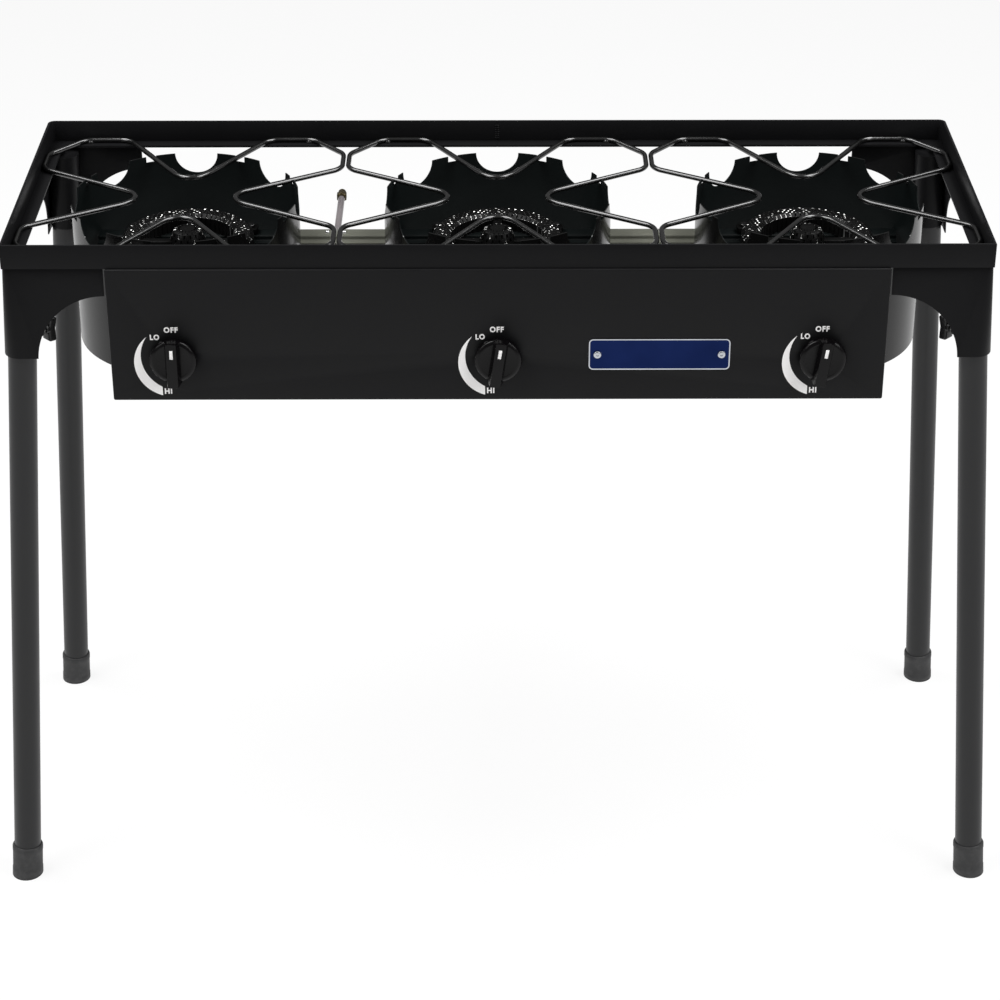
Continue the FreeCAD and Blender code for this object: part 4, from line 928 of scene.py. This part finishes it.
round_corner(lambda at, normal: at.xy.length < finger_tip + SLACK, finger_bend, finger_angle)
root_half = (math.pi / 2 + finger_angle) / 2
round_corner(lambda at, normal: near(max(abs(at.x), abs(at.y)), grate_half)
             and near(min(abs(at.x), abs(at.y)), finger_root), corner_bend, root_half)
round_corner(lambda at, normal: near(abs(at.x), grate_half)
             and near(abs(at.y), grate_half - corner_cut), corner_bend, math.radians(70))
round_corner(lambda at, normal: near(abs(at.y), grate_half)
             and near(abs(at.x), grate_half - run_cut), corner_bend, math.radians(65))
pick_all()
bpy.ops.mesh.delete(type="ONLY_FACE")
close()
bpy.ops.object.convert(target="CURVE")
wire = bpy.context.object
wire.data.bevel_depth = wire_radius
wire.data.bevel_resolution = 6
wire.data.use_fill_caps = False
bpy.ops.object.convert(target="MESH")
wire = bpy.context.object
smooth(wire, 60)


def set_in_cells(*kinds):
    """Copy pieces made in the middle to all three burners; {} stands for the cell's name."""
    for place_name, x in cells.items():
        for pattern, name, body, slot, material, node in kinds:
            made = twin(pattern, name.format(place_name), move=(x, 0, 0))
            fit(made, body.format(place_name), slot, material, node.format(place_name))
    drop(*(kind[0] for kind in kinds))


set_in_cells((wire, "grate_{}_wire", "stand", "wire_enamel", wire_enamel, "grate_{}"))


# Burners. Grey iron castings, blacked: a hollow ring and a drum-shaped head, both drilled all
# over with small gas ports, joined by four arms. Four lugs bolt the casting to the rails, and
# a cast mixing tube drops from the middle and turns forward to the jet.
def cast_iron_black(name, colour, worn, sand_mm, depth_mm):
    """Sand-cast iron under stove black: grains of the mould, and a dull gloss on the high spots."""
    material, tree = blank(name)
    sand = grain(tree, sand_mm, 5.0, 0.75)
    return cover(material, {"Specular IOR Level": 0.11},
                 {"Base Color": blend(tree, grain(tree, 18, 3.0), linear(colour), linear(worn)),
                  "Roughness": vary(tree, sand, 0.24, 0.5, 0.3, 0.7),
                  "Normal": dent(tree, sand, depth_mm, 0.7)})


# Nearly black castings, round whose ports the bared iron glints as fine white dots. The same bright metal on a few
# flutes inside the ring is a painted highlight.
cast_iron = cast_iron_black("burner_blacked_cast_iron", "#050505", "#0b0b0b", 1.6, 0.25)
bared_iron_and_highlight = brushed_metal("burner_port_bared_iron", "#d2d2d0", 0.3, 1.5, 0.05)
burner_bottom = rail_high.z
ring_outside, ring_inside = 76 * MM, 54 * MM
ring_slope = 4 * MM
ring_top = burner_bottom + 21 * MM
ring_steps = 112
port_rows = 4
port_rim, port_chamfer, port_depth = 0.7 * MM, 0.42 * MM, 2.2 * MM
# Steps of this share of a turn fall into no pattern.
GOLDEN_SHARE = 0.618034


def mark_round(piece, kept):
    """Bare the chamfers round a share of the selected port mouths, spread without a pattern."""
    mesh = bmesh.from_edit_mesh(piece.data)
    for count, face in enumerate([face for face in mesh.faces if face.select]):
        if (count * GOLDEN_SHARE) % 1 < kept:
            for edge in face.edges:
                for beside in edge.link_faces:
                    if not beside.select:
                        beside.material_index = 1
    bmesh.update_edit_mesh(piece.data)


def sector(at, steps):
    """Which of a number of equal sectors round the middle a place is in."""
    return int((math.atan2(at.y, at.x) % (2 * math.pi)) / (2 * math.pi) * steps)


def step_in(radius, new_radius, rise=0.0):
    """Extrude a selected round edge to another radius and height."""
    grow((0, 0, rise))
    stretch((new_radius / radius, new_radius / radius, 1), (0, 0, 0))


def sink_ports(piece, rim, rim_rise, chamfer, chamfer_drop, kept, depth, round_mouth=False):
    """Sink a port with a rim and a chamfer into each selected face, and bare a share of them."""
    inset(rim, rim_rise, each=True)
    if round_mouth:
        bpy.ops.mesh.bevel(offset=rim * 0.8, segments=1, affect="VERTICES")
    inset(chamfer, -chamfer_drop, each=True)
    mark_round(piece, kept)
    inset(0.05 * MM, -depth, each=True)


def close_shell():
    """Merge the doubled corners of the open piece and turn its faces outwards."""
    pick_all()
    bpy.ops.mesh.remove_doubles(threshold=2 * SLACK)
    bpy.ops.mesh.normals_make_consistent(inside=False)


ring_shoulder = ring_top - ring_slope
ring = drum("burner_ring", ring_outside, 0, 0, burner_bottom, ring_shoulder, "Z", ring_steps, "NOTHING")
give(ring, cast_iron, bared_iron_and_highlight)
pick(ring, "EDGE", lambda at, normal: near(at.z, ring_shoulder))
step_in(ring_outside, ring_outside - ring_slope, ring_slope)
row_width = (ring_outside - ring_inside - 2 * ring_slope) / port_rows
for row in range(port_rows):
    here = ring_outside - ring_slope - row * row_width
    step_in(here, here - row_width)
step_in(ring_inside + ring_slope, ring_inside, -ring_slope)
step_in(ring_inside, ring_inside, burner_bottom - ring_shoulder)
step_in(ring_inside, ring_outside)
close_shell()
pick(ring, "FACE", lambda at, normal: ring_inside < at.xy.length < ring_outside and normal.z > 0.3
     and at.z > burner_bottom + 12 * MM
     and (sector(at, ring_steps) + int((at.xy.length - ring_inside) / row_width)) % 2 == 0)
sink_ports(ring, port_rim, 0.1 * MM, port_chamfer, 0.5 * MM, 0.4, port_depth, round_mouth=True)
pick(ring, "FACE", lambda at, normal: abs(at.xy.length - ring_inside) < 0.2 * MM and abs(normal.z) < 0.1
     and sector(at, ring_steps) % 2 == 0)
inset(0.35 * MM, -0.9 * MM, each=True)
# Painted highlight: upright faces on the inner right side of the ring take the bright metal, for the light that falls
# on that side.
pick(ring, "FACE", lambda at, normal: abs(at.xy.length - ring_inside) < 0.1 * MM and at.x > 0.78 * ring_inside
     and sector(at, ring_steps) % 4 == 1)
for face in bmesh.from_edit_mesh(ring.data).faces:
    if face.select:
        face.material_index = 1
smooth(ring, 28)

head_flare, head_side, head_crown = 27 * MM, 18.6 * MM, 16.5 * MM
head_rows = head_crown - 4.5 * MM
head_steps = 32
head_foot = burner_bottom + 6 * MM
# Radius of the head at each step of its side and crown, and the rise to it from the step before.
head_profile = ((head_flare, 0), (21.1 * MM, 2.5 * MM), (20.5 * MM, 6 * MM), (head_side, 5.5 * MM),
                (head_crown, 5.5 * MM), (head_rows, 1.3 * MM), (head_crown - 9 * MM, 0.7 * MM), (4 * MM, 0.4 * MM))
head = drum("burner_head", head_flare, 0, 0, burner_bottom, head_foot, "Z", head_steps, "NOTHING")
give(head, cast_iron, bared_iron_and_highlight)
pick(head, "EDGE", lambda at, normal: near(at.z, head_foot))
for (before, _), (after, rise) in zip(head_profile, head_profile[1:]):
    step_in(before, after, rise)
bpy.ops.mesh.edge_face_add()
pick(head, "EDGE", lambda at, normal: near(at.z, burner_bottom))
bpy.ops.mesh.edge_face_add()
pick_all()
bpy.ops.mesh.normals_make_consistent(inside=False)
pick(head, "FACE", lambda at, normal: abs(normal.z) < 0.6 and at.z > burner_bottom + 10 * MM
     and (sector(at, head_steps) % 2 == 0) == (at.xy.length > head_side))
sink_ports(head, 0.75 * MM, 0, 0.35 * MM, 0.5 * MM, 0.45, 1.3 * MM)
pick(head, "FACE", lambda at, normal: normal.z > 0.7 and head_crown - 9 * MM < at.xy.length < head_crown
     and (sector(at, head_steps) % 2 == 0) == (at.xy.length > head_rows))
sink_ports(head, 0.7 * MM, 0.1 * MM, 0.35 * MM, 0.4 * MM, 0.3, 1.5 * MM)
smooth(head, 30)
for piece in (ring, head):
    ease(piece, 0.2 * MM, 1, 50)

arm_half, arm_low, arm_high = 7 * MM, burner_bottom + 2 * MM, burner_bottom + 13 * MM
limbs = []
for turn in range(4):
    arm = begin_box("arm", (head_crown, -arm_half, arm_low), (ring_inside + 2 * MM, arm_half, arm_high))
    pick_side(arm, "+z")
    bpy.ops.transform.resize(value=(1, 0.7, 1))
    pick_all()
    bpy.ops.transform.rotate(value=turn * math.pi / 2, orient_axis="Z", center_override=(0, 0, 0))
    ease(arm, 1.5 * MM, 3)
    limbs.append(arm)
lug_middle = Vector((68 * MM, 50 * MM))
lug_half, lug_height, lug_corner = 9 * MM, 7 * MM, 6 * MM
for side in (-1, 1):
    for end in (-1, 1):
        lug = begin_box("lug", (lug_middle.x - lug_half - lug_corner, lug_middle.y - lug_half, burner_bottom),
                        (lug_middle.x + lug_half, lug_middle.y + lug_half, burner_bottom + lug_height))
        pick(lug, "EDGE", lambda at, normal: near(at.z, burner_bottom + lug_height / 2) and at.x > lug_middle.x)
        bpy.ops.mesh.bevel(offset=lug_corner, segments=6, affect="EDGES")
        pick_all()
        stretch((side, end, 1), (0, 0, 0))
        if side * end < 0:
            bpy.ops.mesh.flip_normals()
        ease(lug, 0.8 * MM, 2)
        limbs.append(lug)

tube_radius, tube_bend, tube_wall = 13 * MM, 34 * MM, 3 * MM
mouth_radius, mouth_reach, mouth_cone, mouth_lip = 20 * MM, 146 * MM, 30 * MM, 12 * MM
tube = begin("circle", "mixing_tube", vertices=48, radius=tube_radius, location=(0, 0, burner_bottom + 1 * MM))
pick(tube, "EDGE", lambda at, normal: True)
grow((0, 0, knob_height + tube_bend - burner_bottom - 1 * MM))
bpy.ops.mesh.spin(steps=12, angle=math.pi / 2, axis=(1, 0, 0), center=(0, -tube_bend, knob_height + tube_bend))
grow((0, tube_bend + mouth_cone - mouth_reach, 0))
widen = mouth_radius / tube_radius
# The share of the widening that each step of the mouth ends with, and of the cone's length it takes.
mouth_steps = ((0, 0), (0.12, 0.35), (0.55, 0.35), (1, 0.3))
for (share_before, _), (share, length) in zip(mouth_steps, mouth_steps[1:]):
    before, now = 1 + (widen - 1) * share_before, 1 + (widen - 1) * share
    grow((0, 0, 0))
    stretch((now / before, 1, now / before), (0, 0, knob_height))
    shift((0, (mouth_lip - mouth_cone) * length, 0))
grow((0, -mouth_lip, 0))
outwards(tube)
thicken(tube, tube_wall)
ease(tube, 0.5 * MM)
for piece in (tube, *limbs):
    give(piece, cast_iron)
casting = join("burner_casting", ring, head, tube, *limbs)
set_in_cells((casting, "burner_{}_casting", "stand", "cast_iron", cast_iron, "burner_{}"))


# Manifold. A capped steel pipe behind the panel, black powder coated, with one drilled brass
# tap screwed into it behind each knob. The tap's steel stem comes through the panel.
manifold_low, manifold_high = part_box("manifold")
manifold_y = (manifold_low.y + manifold_high.y) / 2
manifold_z = (manifold_low.z + manifold_high.z) / 2
manifold_radius = manifold_high.z - manifold_z
stem_radius = 3 * MM


def step_end(piece, width, rise, *ways):
    """Give the ends that look the given ways a raised middle with an upright edge."""
    pick_side(piece, *ways)
    inset(width)
    inset(0.001 * MM, rise)


def hexagon(name, radius, first, second, low, high, along, ways, margin, rise, edge):
    """A hexagon head or nut, raised a little on the faces that look the given ways."""
    made = drum(name, radius, first, second, low, high, along, 6)
    pick_side(made, *ways)
    inset(margin, rise)
    ease(made, edge, 2, 20)
    return made


def turned_metal(name, colour, roughness, groove_mm, metal=1.0):
    """Metal turned on a lathe, with fine rings across its length and finger-dulled patches."""
    material, tree = blank(name)
    where = add(tree, "ShaderNodeTexCoord")
    rings = add(tree, "ShaderNodeTexWave", {"wave_type": "BANDS", "bands_direction": "Y",
                                            "Scale": 1 / (groove_mm * MM * 6.3), "Distortion": 1.5, "Detail": 2.0},
                {"Vector": (where, "Object")})
    dull = grain(tree, 5, 4.0, 0.65)
    return cover(material, {"Metallic": metal},
                 {"Base Color": blend(tree, dull, shade_of(colour, 0.45), linear(colour)),
                  "Roughness": vary(tree, dull, roughness - 0.05, roughness + 0.15),
                  "Normal": dent(tree, (rings, "Fac"), 0.04, 0.4)})


# Clean yellow brass, with fine turning rings that spread the light along each tap.
valve_brass = turned_metal("tap_machined_brass", "#b08a45", 0.24, 0.5)
pipe = drum("manifold_pipe", manifold_radius, manifold_y, manifold_z, manifold_low.x, manifold_high.x, "X", 96)
step_end(pipe, 1.2 * MM, 0.8 * MM, "-x", "+x")
ease(pipe, 0.6 * MM, 3)
fit(pipe, "stand", "frame_paint", frame_paint, "manifold")

tap_low, tap_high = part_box("valve_body_middle")
barrel = drum("tap_barrel", 9 * MM, 0, knob_height, manifold_y - 7.8 * MM, tap_high.y)
step_end(barrel, 0.8 * MM, 0.6 * MM, "-y", "+y")
ease(barrel, 0.4 * MM)
nose = drum("tap_nose", 6 * MM, 0, knob_height, tap_low.y, manifold_y - 7 * MM)
step_end(nose, 1 * MM, 0.8 * MM, "-y")
ease(nose, 0.4 * MM)
foot = hexagon("tap_foot", 7.2 * MM, 0, manifold_y, manifold_z + manifold_radius - 0.2 * MM, knob_height - 8.5 * MM,
               "Z", ["+z"], 0.8 * MM, 0.7 * MM, 0.35 * MM)
gland = hexagon("tap_gland", 7.6 * MM, 0, knob_height, manifold_y - 12.2 * MM, manifold_y - 8.6 * MM,
                "Y", ["-y"], 0.8 * MM, 0.7 * MM, 0.35 * MM)
tap = join("tap", barrel, nose, foot, gland)
stem_low, stem_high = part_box("valve_stem_middle")
spindle = drum("tap_spindle", stem_radius, 0, knob_height, stem_low.y, stem_high.y, "Y", 48)
pick_side(spindle, "-y")
inset(0.3 * MM, 0.4 * MM)
pick_all()
split("Z", knob_height + 1.8 * MM, "above")
ease(spindle, 0.2 * MM)
set_in_cells((tap, "tap_{}", "stand", "valve_brass", valve_brass, "valve_body_{}"),
             (spindle, "tap_{}_spindle", "knob_{}", "zinc_steel", zinc_steel, "valve_stem_{}"))


# Jets and air shutters. A hexagon brass jet is screwed into the back of each tap and points
# into its mixing tube. The pressed steel shutter turns on it to set the air, by its tab.
jet_low, jet_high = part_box("jets")
jet_base = hexagon("jet_hexagon", 6.8 * MM, 0, knob_height, jet_low.y, jet_low.y + 4 * MM,
                   "Y", ["+y"], 0.9 * MM, 0.6 * MM, 0.3 * MM)
tip_piece = drum("jet_tip", 5 * MM, 0, knob_height, jet_low.y + 3.5 * MM, jet_high.y)
pick_side(tip_piece, "+y")
inset(1.4 * MM, 0.6 * MM)
inset(2.4 * MM, -0.3 * MM)
inset(0.2 * MM, -3 * MM)
ease(tip_piece, 0.25 * MM)
jet = join("jet", jet_base, tip_piece)


def set_in_row(name, pattern, places, slot, material, node):
    """Copy one part to every place, as one piece on the stand that stands for a CAD node."""
    copies = [twin(pattern, name, move=place) for place in places]
    drop(pattern)
    fit(join(name, *copies), "stand", slot, material, node)


set_in_row("jets_brass", jet, [(x, 0, 0) for x in cells.values()], "valve_brass", valve_brass, "jets")

# Bright pressed sheet, its rolling marks along the tab.
shutter_steel = brushed_metal("shutter_zinc_plated_sheet", "#8d8f90", 0.36, 0.8, 0.03)
for place_name in cells:
    coat(f"air_shutter_{place_name}", shutter_steel)


# Inlet. An 8 mm steel pipe bends out of the manifold and runs back under the grate to a brass
# flare fitting for the hose. A saddle clip and two screws hold it under the back rail.
inlet_x = -190 * MM
inlet_z = 719.5 * MM
inlet_bend, inlet_radius = 24 * MM, 4 * MM
fitting_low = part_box("inlet_fitting")[0]
# Mid grey paint that shades softly round the pipe, and brass gone brown and dull.
pipe_paint = powder_coat("inlet_pipe_grey_paint", "#6a6567", 0.3, 0.9, 0.03, 0.5)
aged_brass = turned_metal("inlet_aged_brass", "#5c5238", 0.3, 0.5, 0.75)
inlet = begin("circle", "inlet_pipe_bent", vertices=32, radius=inlet_radius,
              location=(inlet_x, manifold_y, manifold_z + manifold_radius - 1.2 * MM))
pick(inlet, "EDGE", lambda at, normal: True)
grow((0, 0, inlet_z - inlet_bend - manifold_z - manifold_radius + 1.2 * MM))
bpy.ops.mesh.spin(steps=12, angle=math.pi / 2, axis=(1, 0, 0),
                  center=(inlet_x, manifold_y + inlet_bend, inlet_z - inlet_bend))
grow((0, fitting_low.y + 10 * MM - manifold_y - inlet_bend, 0))
outwards(inlet)
smooth(inlet, 60)
fit(inlet, "stand", "rail_paint", pipe_paint, "inlet_pipe")

nut = hexagon("flare_nut", 6.7 * MM, inlet_x, inlet_z, fitting_low.y + 9.6 * MM, fitting_low.y + 18 * MM,
              "Y", ["-y", "+y"], 0.7 * MM, 0.6 * MM, 0.35 * MM)
neck = drum("flare_neck", 4.9 * MM, inlet_x, inlet_z, fitting_low.y + 6 * MM, fitting_low.y + 10 * MM)
ease(neck, 0.5 * MM)
thread_pitch, thread_root, thread_crest = 1.3 * MM, 4.1 * MM, 4.8 * MM
thread = drum("flare_thread", thread_root, inlet_x, inlet_z, fitting_low.y + 17.5 * MM, fitting_low.y + 18.2 * MM)
# Share of the pitch and change of radius of each flank, crest and root.
thread_form = ((0.35, thread_crest / thread_root), (0.2, 1), (0.35, thread_root / thread_crest), (0.1, 1))
pick_side(thread, "+y")
for turn in range(6):
    for length, change in thread_form:
        grow((0, thread_pitch * length, 0))
        stretch((change, 1, change), (inlet_x, 0, inlet_z))
grow((0, 2.6 * MM, 0))
stretch((0.72, 1, 0.72), (inlet_x, 0, inlet_z))
inset(0.6 * MM)
inset(0.05 * MM, -8 * MM)
smooth(thread, 50)
fitting = join("inlet_flare_fitting", nut, neck, thread)
fit(fitting, "stand", "valve_brass", aged_brass, "inlet_fitting")
coat("pipe_clip", shutter_steel)


# Fasteners. Dome-headed cross-recess screws and hexagon burner bolts. Near the flames they are
# blacked steel, and the grate screws have a washer on the ledge; elsewhere they are zinc plated.
grate_screw_y = half_depth - 8.5 * MM
# Oil-blacked steel: dark heads, each with a small highlight.
blacked_steel = powder_coat("blacked_steel_fasteners", "#141414", 0.2, 0.6, 0.03, 0.6)


def dome_screw(name, radius, height, recess):
    """A dome head on the origin with a cross cut into it."""
    head = begin("uv_sphere", name, segments=32, ring_count=16, radius=1, scale=(radius, radius, height))
    pick_all()
    split("Z", 0.0001 * MM, "below")
    close()
    for across in ((recess, recess * 0.28), (recess * 0.28, recess)):
        slot = begin_box("cross", (-across[0], -across[1], height * 0.55), (across[0], across[1], height * 1.5))
        cut(head, slot)
    smooth(head, 40)
    return head


pattern = dome_screw("grate_screw", 3.6 * MM, 2.6 * MM, 1.4 * MM)
pattern.data.transform(Matrix.Translation((0, 0, 1.4 * MM)))
washer = drum("grate_screw_washer", 4.6 * MM, 0, 0, 0, 1.5 * MM, "Z", 32)
ease(washer, 0.3 * MM)
pattern = join("grate_screw", pattern, washer)
set_in_row("grate_screws_blacked", pattern,
           [(x + side * 132 * MM, grate_screw_y, rim_bottom + rim_gauge) for x in cells.values() for side in (-1, 1)],
           "zinc_steel", blacked_steel, "grate_screws")

bolt_height = burner_bottom + lug_height
pattern = hexagon("burner_bolt", 5.5 * MM, 0, 0, 0, 3.2 * MM, "Z", ["+z"], 0.9 * MM, 0.6 * MM, 0.3 * MM)
shank = drum("burner_bolt_shank", 3 * MM, 0, 0, -16.2 * MM, 0.2 * MM, "Z", 32)
smooth(shank)
bolt_nut = hexagon("burner_bolt_nut", 5.1 * MM, 0, 0, -14.4 * MM, -9 * MM, "Z", ["-z", "+z"], 0.8 * MM, 0, 0.3 * MM)
pattern = join("burner_bolt", pattern, shank, bolt_nut)
set_in_row("burner_bolts_hexagon", pattern,
           [(x + side * lug_middle.x, end * lug_middle.y, bolt_height)
            for x in cells.values() for side in (-1, 1) for end in (-1, 1)],
           "zinc_steel", blacked_steel, "burner_bolts")

pattern = dome_screw("clip_screw", 2.8 * MM, 2.3 * MM, 1.2 * MM)
shank = drum("clip_screw_shank", 2 * MM, 0, 0, -8 * MM, 0.2 * MM, "Z", 24)
smooth(shank)
bolt_nut = drum("clip_screw_nut", 3.4 * MM, 0, 0, -6.8 * MM, -3.2 * MM, "Z", 6)
ease(bolt_nut, 0.25 * MM, 2, 20)
pattern = join("clip_screw", pattern, shank, bolt_nut)
# Bright zinc: two small white dots at the pipe's clip.
bright_zinc = brushed_metal("clip_screw_bright_zinc", "#e4e6e8", 0.3, 0.6, 0.02)
set_in_row("clip_screws_zinc", pattern,
           [(inlet_x + side * 10 * MM, 50 * MM, rail_high.z) for side in (-1, 1)],
           "zinc_steel", bright_zinc, "clip_screws")

for row_name in ("panel_screws", "screen_screws"):
    coat(row_name, zinc_steel)
for place_name in corners:
    coat(f"socket_{place_name}", frame_paint)
